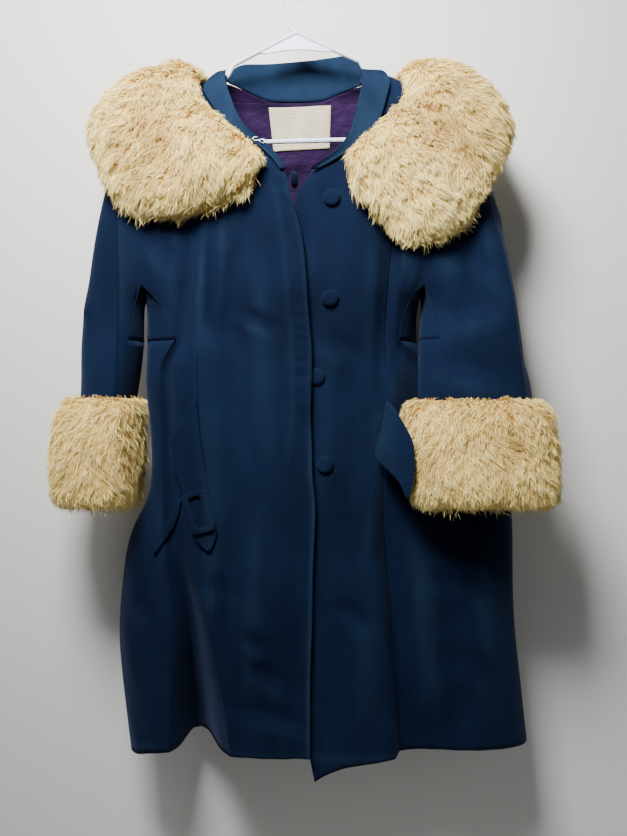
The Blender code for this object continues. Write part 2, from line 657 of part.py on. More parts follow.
def clean_faces(faces):
    """Faces without repeated corners."""
    kept = []
    for face in faces:
        corners = tuple(dict.fromkeys(int(k) for k in face))
        if len(corners) >= 3:
            kept.append(corners)
    return kept


def pulled_in(points, normals, faces, distance):
    """The points, with those on the faces' open edges moved in along the cloth."""
    count = {}
    for face in faces:
        for a, b in zip(face, face[1:] + face[:1]):
            count[(a, b)] = face
    inward = {}
    for (a, b), face in count.items():
        if (b, a) in count:
            continue
        for k in (a, b):
            edge = points[b] - points[a]
            across = np.cross(normals[k], edge)
            inward.setdefault(k, []).append(across / max(np.linalg.norm(across), 1e-9))
    moved = points.copy()
    for k, directions in inward.items():
        total = sum(directions)
        if len(directions) > 1:
            total = total / max(1 + float(np.dot(directions[0], directions[1])), 0.5)
        moved[k] = points[k] + distance * total
    return moved


def wall_mesh(name, points, normals, faces, thickness, outside=0.0, gap=SEAM_GAP / 2):
    """A closed wall: the faces at a distance outside the skin, and again further in."""
    used = sorted({k for face in faces for k in face})
    place = {k: n for n, k in enumerate(used)}
    edge = pulled_in(points, normals, faces, gap)
    outer = edge[used] + normals[used] * outside
    inner = outer - normals[used] * thickness
    shell = [tuple(place[k] for k in face) for face in faces]
    back = [tuple(len(used) + place[k] for k in face[::-1]) for face in faces]
    sides = set()
    for face in shell:
        for a, b in zip(face, face[1:] + face[:1]):
            sides.add((a, b))
    rim = []
    for a, b in sorted(sides):
        if (b, a) in sides:
            continue
        if a < b:
            rim += [(b, a, b + len(used)), (a, a + len(used), b + len(used))]
        else:
            rim += [(b, a, a + len(used)), (b, a + len(used), b + len(used))]
    return new_mesh(name, np.concatenate([outer, inner]), shell + back + rim)


def new_mesh(name, points, faces):
    """A mesh object in the coat's collection, from points in millimetres."""
    mesh = bpy.data.meshes.new(name)
    mesh.from_pydata([tuple(p) for p in np.asarray(points) * MM], [], [tuple(f) for f in faces])
    mesh.validate()
    piece = bpy.data.objects.new(name, mesh)
    COAT.objects.link(piece)
    return piece


def finish(piece, paint, smooth_angle=50.0):
    """Gives a piece its material and smooth shading."""
    colour, roughness = PAINT[paint]
    material = bpy.data.materials.get(paint) or bpy.data.materials.new(paint)
    material.use_nodes = True
    shader = material.node_tree.nodes["Principled BSDF"]
    shader.inputs["Base Color"].default_value = (*colour, 1.0)
    shader.inputs["Roughness"].default_value = roughness
    shader.inputs["Metallic"].default_value = 0.0
    piece.data.materials.clear()
    piece.data.materials.append(material)
    piece.data.shade_smooth()
    piece.data.set_sharp_from_angle(angle=math.radians(smooth_angle))
    return piece


def build_skin():
    """The whole outer surface of the cloth, with its panels' patch names."""
    skin = Skin()
    beside, across = back_yoke_patches()
    skin.add("back_across", across, "right")
    for side in ("right", "left"):
        front_side, front_centre, outer = yoke_patches(side)
        skin.add(f"{side}_yoke_side", front_side, side)
        skin.add(f"{side}_yoke_centre", front_centre, side)
        skin.add(f"{side}_yoke_outer", outer, side)
        skin.add(f"{side}_yoke_beside", beside[side], side)
        for name, grid in body_patches(side).items():
            skin.add(f"{side}_body_{name}", grid, side)
        for name, grid in sleeve_patches(side).items():
            skin.add(f"{side}_sleeve_{name}", grid, side)
        line = joined(crotch(side, 0.0, 0.5, SIDE_TO_CORNER),
                      crotch(side, 0.5, 1.0, SIDE_TO_CORNER))
        lean = np.linspace(-1, 1, len(line)) ** 3
        skin.creases += [(point, (0.0, 0.7 * t, -1.0)) for point, t in zip(line, lean)]
    skin.weld()
    return skin


PANELS = {
    "front_right_centre": ("right_yoke_centre", "right_body_centre_top", "right_body_centre_low"),
    "front_right_side_and_sleeve": ("right_yoke_side", "right_body_side_top",
                                    "right_body_side_low", "right_sleeve_front_top",
                                    "right_sleeve_front_low"),
    "front_left_centre": ("left_yoke_centre", "left_body_centre_top", "left_body_centre_low"),
    "front_left_side_and_sleeve": ("left_yoke_side", "left_body_side_top", "left_body_side_low",
                                   "left_sleeve_front_top", "left_sleeve_front_low"),
    "back_and_sleeves": ("back_across", "right_yoke_outer", "left_yoke_outer",
                         "right_yoke_beside", "left_yoke_beside", "right_body_back_top",
                         "left_body_back_top", "right_body_back_low", "left_body_back_low",
                         "right_sleeve_outer_top", "right_sleeve_back_low",
                         "left_sleeve_outer_top", "left_sleeve_back_low"),
    "gusset_right": ("right_body_gusset", "right_sleeve_gusset"),
    "gusset_left": ("left_body_gusset", "left_sleeve_gusset"),
}


def build_panels(skin):
    """One wall for each panel of cloth."""
    pieces = {}
    for name, patches in PANELS.items():
        faces = [face for patch in patches for face in skin.patches[patch]]
        piece = wall_mesh(name, skin.points, skin.normals, faces, WALL)
        pieces[name] = finish(piece, "velveteen")
    return pieces


def build_lining(skin):
    """The lining that shows in the neck, inside the back, from the neck seam down."""
    faces = [face for face in skin.patches["back_across"]
             if all(abs(skin.points[k][0] - 7) < 145 and skin.points[k][2] > -335 for k in face)]
    return finish(wall_mesh("lining_back", skin.points, skin.normals, faces, LINING_WALL,
                            outside=-(WALL + 1.2), gap=2.0), "satin")


class Surface:
    """What pieces lie on: finds how far forward the solids reach at a place seen from the front."""

    def __init__(self, pieces):
        points, faces = [], []
        for piece in pieces:
            start = len(points)
            points.extend(piece.matrix_world @ v.co for v in piece.data.vertices)
            faces.extend([start + k for k in p.vertices] for p in piece.data.polygons)
        self.tree = BVHTree.FromPolygons(points, faces)

    def depth(self, x, z, start=-0.5):
        """The y, in millimetres, of the first solid met at x, z; start is in metres."""
        hit = self.tree.ray_cast(Vector((x * MM, start, z * MM)), Vector((0, 1, 0)))
        if hit[0] is None:
            near = Vector((x * MM, -30 * MM, z * MM))
            hit = self.tree.find_nearest(near)
        return hit[0].y / MM

    def lay(self, places, lift, start=-0.5):
        """Points lifted off the highest ground round each of a grid of places x, z."""
        places = halved(halved(np.array(places, float)).transpose(1, 0, 2)).transpose(1, 0, 2)
        ground = np.array([[self.depth(x, z, start) for x, z in row] for row in places])
        padded = np.pad(ground, 1, mode="edge")
        rows, columns = ground.shape
        around = [padded[i:i + rows, j:j + columns] for i in range(3) for j in range(3)]
        highest = np.min(around, axis=0)[::2, ::2]
        kept = places[::2, ::2]
        return np.stack([kept[..., 0], highest - lift, kept[..., 1]], -1)

    def plane(self, x, z, ring):
        """The middle of the ground inside a ring of places, and its slopes along x and z."""
        spots = []
        for px, pz in ring + [(x, z)]:
            hit = self.tree.ray_cast(Vector((px * MM, -0.5, pz * MM)), Vector((0, 1, 0)))
            if hit[0] is not None:
                spots.append((px, pz, hit[0].y / MM))
        spots = np.array(spots)
        system = np.stack([spots[:, 0] - x, spots[:, 1] - z, np.ones(len(spots))], -1)
        slope_x, slope_z, middle = np.linalg.lstsq(system, spots[:, 2], rcond=None)[0]
        proud = float(np.max(system @ (slope_x, slope_z, middle) - spots[:, 2]))
        across = np.array([1.0, slope_x, 0.0])
        upward = np.array([0.0, slope_z, 1.0])
        across /= np.linalg.norm(across)
        upward /= np.linalg.norm(upward)
        out = np.cross(across, upward)
        out /= np.linalg.norm(out)
        return np.array([x, middle, z]) + out * max(proud, 0.0), across, upward, out


def halved(rows):
    """Rows with a row halfway between each two."""
    result = np.empty((2 * len(rows) - 1,) + rows.shape[1:])
    result[::2] = rows
    result[1::2] = (rows[:-1] + rows[1:]) / 2
    return result


def slab(name, grid, thickness):
    """A closed slab: a grid of points nearest its support, and again further out."""
    rows, columns = grid.shape[:2]
    base = grid.reshape(-1, 3)
    top = base - np.array([0, thickness, 0])
    faces = grid_faces(rows, columns, 0, False)
    lower = [tuple(k for k in face[::-1]) for face in faces]
    upper = [tuple(k + len(base) for k in face) for face in faces]
    sides = {(a, b) for face in upper for a, b in zip(face, face[1:] + face[:1])}
    rim = [(b, a, a - len(base), b - len(base)) for a, b in sides if (b, a) not in sides]
    piece = new_mesh(name, np.concatenate([base, top]), lower + upper + sorted(rim))
    fix = bmesh.new()
    fix.from_mesh(piece.data)
    bmesh.ops.recalc_face_normals(fix, faces=fix.faces)
    fix.to_mesh(piece.data)
    fix.free()
    return piece


def build_facings(panels):
    """The turned neck facings that lie on the fronts beside the neck edge."""
    pieces = []
    for side, inward, edge in (("right", -1, OVER_EDGE), ("left", 1, UNDER_EDGE)):
        names = (f"front_{side}_centre", f"front_{side}_side_and_sleeve")
        ground = Surface([panels[name] for name in names])
        places = []
        for z in FACING_ROWS:
            start = float(smooth(z, edge)) + inward * 0.6
            width = float(smooth(z, FACING_WIDTH[side]))
            ring = yoke(z, side)
            limit = ring.left + 2.5 if side == "right" else ring.right - 2.5
            end = start + inward * width
            end = max(end, limit) if side == "right" else min(end, limit)
            places.append([(start + (end - start) * share, z)
                           for share in np.linspace(0, 1, FACING_COLUMNS + 1)])
        grid = ground.lay(places, REST_GAP)
        share = np.linspace(0, 1, FACING_COLUMNS + 1)
        grid[:, :, 1] -= ROLL_HEIGHT * np.exp(-(share * 4.0) ** 2)[None, :]
        pieces.append(finish(slab(f"neck_facing_{side}", grid, FACING_WALL), "velveteen"))
    return pieces


def build_stand():
    """The collar stand: a band that stands up round the back of the neck."""
    corners = sorted((float(x), z, yoke(z, "right")) for side in ("right", "left")
                     for z, x in BACK_NECK_X[side])
    corner_x = [x for x, _, _ in corners]
    corner_y = [ring.points(np.array([-ring.angle_at(x)]))[0, 1] for x, _, ring in corners]
    corner_z = [z for _, z, _ in corners]
    tops = np.array(STAND_STATIONS, float)
    fine = np.linspace(0, len(tops) - 1, 2 * len(tops) - 1)
    x, high = (smooth(fine, list(zip(range(len(tops)), tops[:, k]))) for k in range(2))
    y = np.interp(x, corner_x, corner_y) - WALL
    low = np.interp(x, corner_x, corner_z) + STAND_SEAM
    (x0, y0, top0), (x1, y1, top1) = STAND_FRONT_ENDS
    x, y = np.concatenate([[x0], x, [x1]]), np.concatenate([[y0], y, [y1]])
    low = np.concatenate([[low[0]], low, [low[-1]]])
    high = np.concatenate([[top0], high, [top1]])
    count = len(x)
    tangent = np.stack([np.gradient(x), np.gradient(y)], -1)
    tangent /= np.linalg.norm(tangent, axis=1, keepdims=True)
    outward = np.stack([-tangent[:, 1], tangent[:, 0]], -1)
    rows = []
    for share, lean in ((0.0, 0.0), (0.35, 0.1), (0.7, 0.35), (0.92, 0.7), (1.0, 1.0)):
        reach = STAND_ROLL * lean
        rows.append(np.stack([x + outward[:, 0] * reach, y + outward[:, 1] * reach,
                              low + (high - low) * share], -1))
    inner = np.array(rows)
    outer = inner + np.concatenate([outward, np.zeros((count, 1))], 1)[None] * WALL
    return finish(closed_sheet("collar_stand", inner, outer), "stand")


def closed_sheet(name, first, second):
    """A closed body between two grids of points, with rims round their edges."""
    rows, columns = first.shape[:2]
    size = rows * columns
    faces = grid_faces(rows, columns, 0, False)
    other = [tuple(k + size for k in face[::-1]) for face in faces]
    sides = {(a, b) for face in faces for a, b in zip(face, face[1:] + face[:1])}
    rim = [(b, a, a + size, b + size) for a, b in sides if (b, a) not in sides]
    points = np.concatenate([first.reshape(-1, 3), second.reshape(-1, 3)])
    piece = new_mesh(name, points, faces + other + sorted(rim))
    fix = bmesh.new()
    fix.from_mesh(piece.data)
    bmesh.ops.recalc_face_normals(fix, faces=fix.faces)
    fix.to_mesh(piece.data)
    fix.free()
    return piece


def collar_ring(z, side):
    """The yoke's section where fur lies, carried straight up behind the neck."""
    return yoke(min(z, UPPER_ROWS[0]), side)


def collar_station(row, side):
    """Points and outward directions across the collar at one station, inner edge first."""
    sheet, inner_z, inner_share, outer_z, outer_share, pile = row
    points, directions = [], []
    for share in COLLAR_SHARES:
        z = inner_z + (outer_z - inner_z) * share
        place = inner_share + (outer_share - inner_share) * share
        ring = collar_ring(z, side)
        outer = ring.left if side == "right" else ring.right
        angle = ring.angle_at(outer + place * (ring.centre - outer))
        angle = angle if sheet == "front" else -angle
        around = ring.points(np.array([angle - 0.04, angle, angle + 0.04]))
        lower = collar_ring(z - 6, side)
        below_x = lower.left if side == "right" else lower.right
        below_angle = lower.angle_at(below_x + place * (lower.centre - below_x))
        below = lower.points(np.array([below_angle if sheet == "front" else -below_angle]))[0]
        across = around[2] - around[0]
        down = below - around[1]
        if z - 6 >= UPPER_ROWS[0]:
            down = np.array([0.0, 0.0, -6.0])
        normal = np.cross(down, across)
        normal = normal if side == "right" else -normal
        directions.append(normal / max(np.linalg.norm(normal), 1e-9))
        point = around[1].copy()
        point[2] = z
        points.append(point)
    return np.array(points), np.array(directions), pile


def build_collar():
    """The fur cape collar, right round from one front tip to the other."""
    rows = [(station, "right") for station in COLLAR_STATIONS["right"]]
    rows += [(COLLAR_BACK_STATION, "right")]
    rows += [(station, "left") for station in COLLAR_STATIONS["left"][::-1]]
    base, top = [], []
    shape = np.array(COLLAR_PILE_SHAPE)[:, None]
    for row, side in rows:
        points, directions, pile = collar_station(row, side)
        shoulder = 7.0 * math.exp(-(row[4] / 0.06) ** 2)
        behind = 6.0 if row[0] == "back" else 0.0
        base.append(points + directions * (COLLAR_LIFT + shoulder + behind))
        top.append(base[-1] + directions * pile * shape)
    return finish(closed_sheet("collar_fur", np.array(base), np.array(top)), "fur")


COLLAR_LIFT = 7.0  # over the facings, which lie under the collar's inner edge


def build_cuffs():
    """A fur band round the end of each sleeve."""
    pieces = []
    for side, (top, bottom, *piles) in CUFFS.items():
        loops = []
        for share, pile in CUFF_ROWS:
            loops.append(cuff_loop(top + (bottom - top) * share, side, piles, pile))
        inner = [bottom] + [z for z in SLEEVE_ROWS[::-1] if bottom < z < top] + [top]
        for z in inner:
            loops.append(cuff_loop(z, side, piles, 0.0))
        pieces.append(finish(torus_mesh(f"cuff_{side}", np.array(loops)), "fur"))
    return pieces


def sleeve_loop(z, side):
    """The sleeve's own columns at a height, straight between its rows."""
    patches = sleeve_patches(side)
    rows = np.concatenate([patches["front_low"], patches["back_low"][:, 1:]], 1)[:, :-1]
    heights = np.array(SLEEVE_ROWS, float)
    z = max(z, heights[-1])
    k = int(np.clip(np.searchsorted(-heights, -z) - 1, 0, len(heights) - 2))
    share = (z - heights[k]) / (heights[k + 1] - heights[k])
    return rows[k] * (1 - share) + rows[k + 1] * share


def cuff_loop(z, side, piles, share):
    """The sleeve's loop grown by the cuff's pile: outwards, inwards, in front and behind."""
    loop = sleeve_loop(z, side)
    loop = halved(np.concatenate([loop, loop[:1]]))[:-1]
    ahead, behind = np.roll(loop, -2, axis=0), np.roll(loop, 2, axis=0)
    along = ahead - behind
    out = np.stack([along[:, 1], -along[:, 0]], -1)
    out /= np.linalg.norm(out, axis=1, keepdims=True)
    middle = loop[:, :2].mean(0)
    if np.sum(out * (loop[:, :2] - middle)) < 0:
        out = -out
    outward, inward, front, back = piles
    left, right = (outward, inward) if side == "right" else (inward, outward)
    reach = np.hypot(out[:, 0] * np.where(out[:, 0] < 0, left, right),
                     out[:, 1] * np.where(out[:, 1] < 0, front, back))
    loop[:, :2] += out * (CUFF_LINING_GAP + reach * share)[:, None]
    loop[:, 2] = z
    return loop


def torus_mesh(name, loops):
    """A closed body through rings of points, the last ring joined to the first."""
    count, size = loops.shape[:2]
    faces = []
    for i in range(count):
        for j in range(size):
            a, b = i * size + j, i * size + (j + 1) % size
            c, d = ((i + 1) % count) * size + (j + 1) % size, ((i + 1) % count) * size + j
            faces.append((a, b, c, d))
    piece = new_mesh(name, loops.reshape(-1, 3), faces)
    fix = bmesh.new()
    fix.from_mesh(piece.data)
    bmesh.ops.recalc_face_normals(fix, faces=fix.faces)
    fix.to_mesh(piece.data)
    fix.free()
    return piece


def build_tabs(panels):
    """The half belt's two tabs, each sewn into a princess seam."""
    ground = Surface([panels["front_right_centre"], panels["front_right_side_and_sleeve"]])
    share = np.linspace(0, 1, TAB_COLUMNS + 1)
    places = [[(xl + (xr - xl) * t, zl + (zr - zl) * t) for t in share]
              for xl, zl, xr, zr in densified(TAB_RIGHT_SECTIONS, 2)]
    grid = ground.lay(places, REST_GAP)
    right = finish(slab("belt_tab_right", grid, TAB_WALL), "velveteen")
    rows = np.array(densified(TAB_LEFT_SECTIONS, 2))
    grid = rows[:, None, :3] * (1 - share)[None, :, None] + rows[:, None, 3:] * share[None, :, None]
    left = finish(slab("belt_tab_left", grid, TAB_WALL), "velveteen")
    return right, left


def densified(table, times):
    """A table's rows with smooth rows worked out between them."""
    rows = np.array(table, float)
    along = np.arange(len(rows))
    fine = np.linspace(0, len(rows) - 1, (len(rows) - 1) * times + 1)
    return [tuple(float(smooth(t, list(zip(along, rows[:, k])))) for k in range(rows.shape[1]))
            for t in fine]


def build_buckle(tab):
    """The cloth-covered buckle on the right tab: a rectangular frame."""
    half_w, half_h = BUCKLE_SIZE[0] / 2, BUCKLE_SIZE[1] / 2
    ring = [tuple(np.array(BUCKLE_CENTRE) + place)
            for inset in (2.0, 7.0) for place in buckle_outline(half_w - inset, half_h - inset, 12)]
    middle, across, upward, out = Surface([tab]).plane(*BUCKLE_CENTRE, ring)
    loops = []
    for inset, lift in ((0.0, 0.0), (0.0, 0.7), (0.22, 1.0), (0.78, 1.0), (1.0, 0.7), (1.0, 0.0)):
        outline = buckle_outline(half_w - BUCKLE_BAR * inset, half_h - BUCKLE_BAR * inset, 28)
        height = REST_GAP + BUCKLE_THICKNESS * lift
        loops.append([middle + across * u + upward * v + out * height for u, v in outline])
    return finish(torus_mesh("buckle_right", np.array(loops)), "velveteen")


def buckle_outline(half_w, half_h, count):
    """A rectangle with round corners, turned with the tab, about its middle."""
    angle = np.linspace(0, 2 * math.pi, count, endpoint=False) + math.pi / count
    across = np.sign(np.cos(angle)) * np.abs(np.cos(angle)) ** 0.28 * half_w
    down = np.sign(np.sin(angle)) * np.abs(np.sin(angle)) ** 0.28 * half_h
    c, s = math.cos(BUCKLE_TURN), math.sin(BUCKLE_TURN)
    return [(u * c - v * s, u * s + v * c) for u, v in zip(across, down)]


def build_pockets(panels):
    """The welt of each slanting pocket."""
    pieces = []
    for side, (x0, z0, x1, z1) in POCKETS.items():
        ground = Surface([panels[f"front_{side}_side_and_sleeve"],
                          panels[f"front_{side}_centre"]])
        run = np.array([x1 - x0, z1 - z0], float)
        across = np.array([-run[1], run[0]]) / np.linalg.norm(run) * WELT_WIDTH / 2
        places = []
        for t in np.linspace(0, 1, 13):
            centre = np.array([x0, z0]) + run * t
            bow = across * 0.55 * math.sin(math.pi * t)
            width = across * (0.35 + 0.65 * math.sin(math.pi * min(1, 0.12 + t)))
            places.append([tuple(centre + bow + width * k) for k in (-1, 0, 1)])
        grid = ground.lay(places, WELT_LIFT)
        pieces.append(finish(slab(f"pocket_welt_{side}", grid, WELT_WALL), "velveteen"))
    return pieces


def build_buttons(panels):
    """Cloth-covered buttons on the under front."""
    ground = Surface([panels["front_left_centre"]])
    pieces = []
    turns = np.linspace(0, 2 * math.pi, BUTTON_SEGMENTS, endpoint=False)
    for number, (x, z) in enumerate((TOP_BUTTON_PLACE,) + BUTTON_PLACES, 1):
        ring = [(x + r * BUTTON_RADIUS * math.cos(a), z + r * BUTTON_RADIUS * math.sin(a))
                for r in (0.5, 0.9) for a in turns[::2]]
        middle, across, upward, out = ground.plane(x, z, ring)
        if number == 1:
            middle, across, upward, out = (np.array(row) for row in TOP_BUTTON_FRAME)
        loops = [[middle + across * r * BUTTON_RADIUS * math.cos(a)
                  + upward * r * BUTTON_RADIUS * math.sin(a) + out * (0.4 + BUTTON_HEIGHT * h)
                  for a in turns] for r, h in BUTTON_PROFILE[1:-1]]
        pieces.append(finish(capped(f"button_{number}", np.array(loops)), "velveteen"))
    return pieces


def capped(name, loops):
    """A closed body through rings of points, with a cap at each end."""
    count, size = loops.shape[:2]
    faces = [(i * size + j, i * size + (j + 1) % size, (i + 1) * size + (j + 1) % size,
              (i + 1) * size + j) for i in range(count - 1) for j in range(size)]
    faces += [tuple(range(size)), tuple((count - 1) * size + j for j in range(size))]
    piece = new_mesh(name, loops.reshape(-1, 3), faces)
    fix = bmesh.new()
    fix.from_mesh(piece.data)
    bmesh.ops.recalc_face_normals(fix, faces=fix.faces)
    fix.to_mesh(piece.data)
    fix.free()
    return piece


def build_label(lining):
    """The bare woven label on the lining below the neck seam."""
    ground = Surface([lining])
    corners = np.array(LABEL_CORNERS, float)
    places = []
    for v in np.linspace(0, 1, 5):
        row = []
        for u in np.linspace(0, 1, 6):
            top = corners[0] * (1 - u) + corners[1] * u
            low = corners[3] * (1 - u) + corners[2] * u
            row.append(tuple(top * (1 - v) + low * v))
        places.append(row)
    grid = ground.lay(places, 0.5, start=0.0)
    return finish(slab("label", grid, LABEL_WALL), "label")


def hung(x, z):
    """A point of the hanger, given from its centre line, as it hangs tilted on its hook."""
    x = x + HANGER_CENTRE_X
    c, s = math.cos(HANGER_TILT), math.sin(HANGER_TILT)
    return x * c - z * s, x * s + z * c


def tube(name, points, cyclic=False, radius=TUBE_RADIUS):
    """A round tube along points, as a mesh with closed ends."""
    curve = bpy.data.curves.new(name, "CURVE")
    curve.dimensions = "3D"
    curve.bevel_depth = radius * MM
    curve.bevel_resolution = 2
    curve.use_fill_caps = True
    spline = curve.splines.new("POLY")
    spline.points.add(len(points) - 1)
    for place, point in zip(spline.points, points):
        place.co = (*(c * MM for c in point), 1.0)
    spline.use_cyclic_u = cyclic
    guide = bpy.data.objects.new(name + "_guide", curve)
    COAT.objects.link(guide)
    bpy.context.view_layer.update()
    graph = bpy.context.evaluated_depsgraph_get()
    mesh = bpy.data.meshes.new_from_object(guide.evaluated_get(graph))
    bpy.data.objects.remove(guide)
    fix = bmesh.new()
    fix.from_mesh(mesh)
    bmesh.ops.remove_doubles(fix, verts=fix.verts, dist=1e-6)
    bmesh.ops.recalc_face_normals(fix, faces=fix.faces)
    fix.to_mesh(mesh)
    fix.free()
    piece = bpy.data.objects.new(name, mesh)
    COAT.objects.link(piece)
    return piece


def arc(centre, radius, start, end, steps):
    """Points x, z on an arc, its angles in degrees."""
    return [(centre[0] + radius * math.cos(math.radians(a)),
             centre[1] + radius * math.sin(math.radians(a)))
            for a in np.linspace(start, end, steps)]


def hanger_frame_points():
    """The hanger's closed loop: arms with strap notches, round ends and the trouser bar."""
    tip_z = NOTCH_OUTER[1] - ARM_SLOPE * (ARM_TIP - NOTCH_OUTER[0])
    slope = math.degrees(math.atan(ARM_SLOPE))
    end_x = ARM_TIP - BEND_RADIUS * math.sin(math.radians(slope))
    top = (end_x, tip_z + ARM_SLOPE * (ARM_TIP - end_x) - BEND_RADIUS / math.cos(
        math.radians(slope)))
    right = [(0.0, APEX_Z), NOTCH_INNER, (NOTCH_INNER[0] + 3.6, NOTCH_INNER[1] - 6.5), NOTCH_OUTER]
    right += arc(top, BEND_RADIUS, 90 - slope, 0, 4)
    right += arc((top[0], BAR_Z + BEND_RADIUS), BEND_RADIUS, 0, -90, 5)
    loop = right + [(-x, z) for x, z in right[:0:-1]]
    return [(x, 0.0, z) for x, z in (hung(*p) for p in loop)]


def hook_points():
    """The hook: from the frame's apex up its stem and round over the rod."""
    x0, z0 = hung(0.0, APEX_Z)
    centre = (0.0, -HOOK_RADIUS + HOOK_TUBE_RADIUS)
    points = [(x0 + 0.4, z0 - 1.1), (-1.0, z0 + 9), (-8.0, z0 + 24), (-13.0, z0 + 42)]
    points += arc(centre, HOOK_RADIUS, 172, -28, 12)
    return [(x, 0.0, z) for x, z in points]


def build_hanger():
    """The plastic hanger in one moulding: frame, hook and the web below its apex."""
    frame = tube("hanger", hanger_frame_points(), cyclic=True)
    hook = tube("hanger_hook", hook_points(), radius=HOOK_TUBE_RADIUS)
    web_top = [(-54.3, APEX_Z - ARM_SLOPE * 54.3 + 0.6), (-3.1, APEX_Z - 0.9),
               (2.7, APEX_Z - 0.7), (54.1, APEX_Z - ARM_SLOPE * 54.1 + 0.7)]
    web_low = [(55, APEX_Z - ARM_SLOPE * 55 - 2), (40, -104), (20, -101), (0, -100), (-20, -101),
               (-40, -104), (-55, APEX_Z - ARM_SLOPE * 55 - 2)]
    outline = [hung(*p) for p in web_top + web_low]
    points = [(x, y, z) for y in (-1.4, 1.4) for x, z in outline]
    count = len(outline)
    faces = [tuple(range(count)), tuple(range(2 * count - 1, count - 1, -1))]
    faces += [(k, (k + 1) % count, (k + 1) % count + count, k + count) for k in range(count)]
    web = new_mesh("hanger_web", points, faces)
    fix = bmesh.new()
    fix.from_mesh(web.data)
    bmesh.ops.recalc_face_normals(fix, faces=fix.faces)
    fix.to_mesh(web.data)
    fix.free()
    for other in (hook, web):
        union = frame.modifiers.new(other.name, "BOOLEAN")
        union.operation = "UNION"
        union.object = other
    bpy.context.view_layer.update()
    graph = bpy.context.evaluated_depsgraph_get()
    mesh = bpy.data.meshes.new_from_object(frame.evaluated_get(graph))
    frame.modifiers.clear()
    fix = bmesh.new()
    fix.from_mesh(mesh)
    bmesh.ops.remove_doubles(fix, verts=fix.verts, dist=2e-5)
    fix.to_mesh(mesh)
    fix.free()
    frame.data = mesh
    bpy.data.objects.remove(hook)
    bpy.data.objects.remove(web)
    return finish(frame, "plastic", 60.0)


def main():
    """Builds the coat and its hanger."""
    skin = build_skin()
    panels = build_panels(skin)
    lining = build_lining(skin)
    build_label(lining)
    build_facings(panels)
    build_stand()
    build_collar()
    build_cuffs()
    tab, _ = build_tabs(panels)
    build_buckle(tab)
    build_pockets(panels)
    build_buttons(panels)
    build_hanger()


for old in list(bpy.data.objects):
    bpy.data.objects.remove(old)
COAT = bpy.data.collections.new("swing_coat")
bpy.context.scene.collection.children.link(COAT)
main()
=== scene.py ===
"""Dresses the swing coat: velveteen, satin lining, fur pile, bare label and plastic hanger.

Lengths are in metres in the coat's own frame: +X to the wearer's left, -Y to the front and +Z up,
from the inner top of the hanger's hook.
"""
from __future__ import annotations

import logging
import math
from dataclasses import dataclass
from enum import Enum

import bmesh
import bpy
import numpy as np
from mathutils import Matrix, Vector
from mathutils.bvhtree import BVHTree

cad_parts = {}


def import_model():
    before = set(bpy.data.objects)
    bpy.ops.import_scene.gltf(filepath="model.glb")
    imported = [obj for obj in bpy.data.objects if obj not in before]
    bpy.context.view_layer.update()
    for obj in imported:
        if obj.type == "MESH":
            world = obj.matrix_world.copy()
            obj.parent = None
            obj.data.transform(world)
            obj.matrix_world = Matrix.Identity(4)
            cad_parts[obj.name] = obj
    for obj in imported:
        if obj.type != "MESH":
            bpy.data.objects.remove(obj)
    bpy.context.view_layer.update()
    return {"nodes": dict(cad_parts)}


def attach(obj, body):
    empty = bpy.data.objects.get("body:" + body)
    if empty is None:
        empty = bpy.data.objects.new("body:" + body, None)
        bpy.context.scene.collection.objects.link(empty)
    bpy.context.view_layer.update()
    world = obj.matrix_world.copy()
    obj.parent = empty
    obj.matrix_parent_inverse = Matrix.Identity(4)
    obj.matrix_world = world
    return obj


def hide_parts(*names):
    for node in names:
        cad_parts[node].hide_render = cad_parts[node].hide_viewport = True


LOG = logging.getLogger("swing_coat")

# The over front's free edge: height and place across, in metres.
OVER_EDGE = np.array([
    (-0.286, -0.006), (-0.303, 0.000), (-0.322, -0.001), (-0.345, 0.011), (-0.393, 0.020),
    (-0.432, 0.024), (-0.496, 0.028), (-0.545, 0.033), (-0.618, 0.030), (-0.681, 0.033),
    (-0.717, 0.032), (-0.751, 0.038), (-0.797, 0.037), (-0.843, 0.034), (-0.923, 0.033),
    (-1.007, 0.030), (-1.117, 0.030)])

# Soft creases pressed into the fronts: ends x, z to x, z, then width and depth.
FRONT_CREASES = np.array([
    (-0.073, -0.486, -0.005, -0.521, 0.010, 0.0016),
    (-0.064, -0.941, -0.024, -0.965, 0.010, 0.0018),
    (-0.054, -0.983, 0.004, -1.017, 0.011, 0.0020),
    (-0.064, -1.045, 0.027, -1.070, 0.011, 0.0020),
    (-0.100, -0.500, -0.060, -0.560, 0.014, 0.0014),
    (-0.118, -0.860, -0.070, -0.900, 0.014, 0.0016),
    (0.050, -0.520, 0.110, -0.560, 0.013, 0.0014),
    (0.060, -0.900, 0.120, -0.930, 0.014, 0.0016),
    (0.200, -0.860, 0.290, -0.890, 0.016, 0.0020),
    (0.210, -0.980, 0.300, -1.000, 0.018, 0.0020),
    (-0.225, -0.900, -0.190, -0.925, 0.010, 0.0014),
    (-0.296, -0.520, -0.245, -0.500, 0.010, 0.0016),
    (-0.298, -0.575, -0.250, -0.560, 0.010, 0.0014),
    (0.205, -0.500, 0.300, -0.480, 0.014, 0.0022),
    (0.200, -0.560, 0.310, -0.585, 0.014, 0.0020),
    (0.215, -0.400, 0.290, -0.430, 0.014, 0.0018),
    (-0.200, -0.380, -0.150, -0.430, 0.012, 0.0018)])

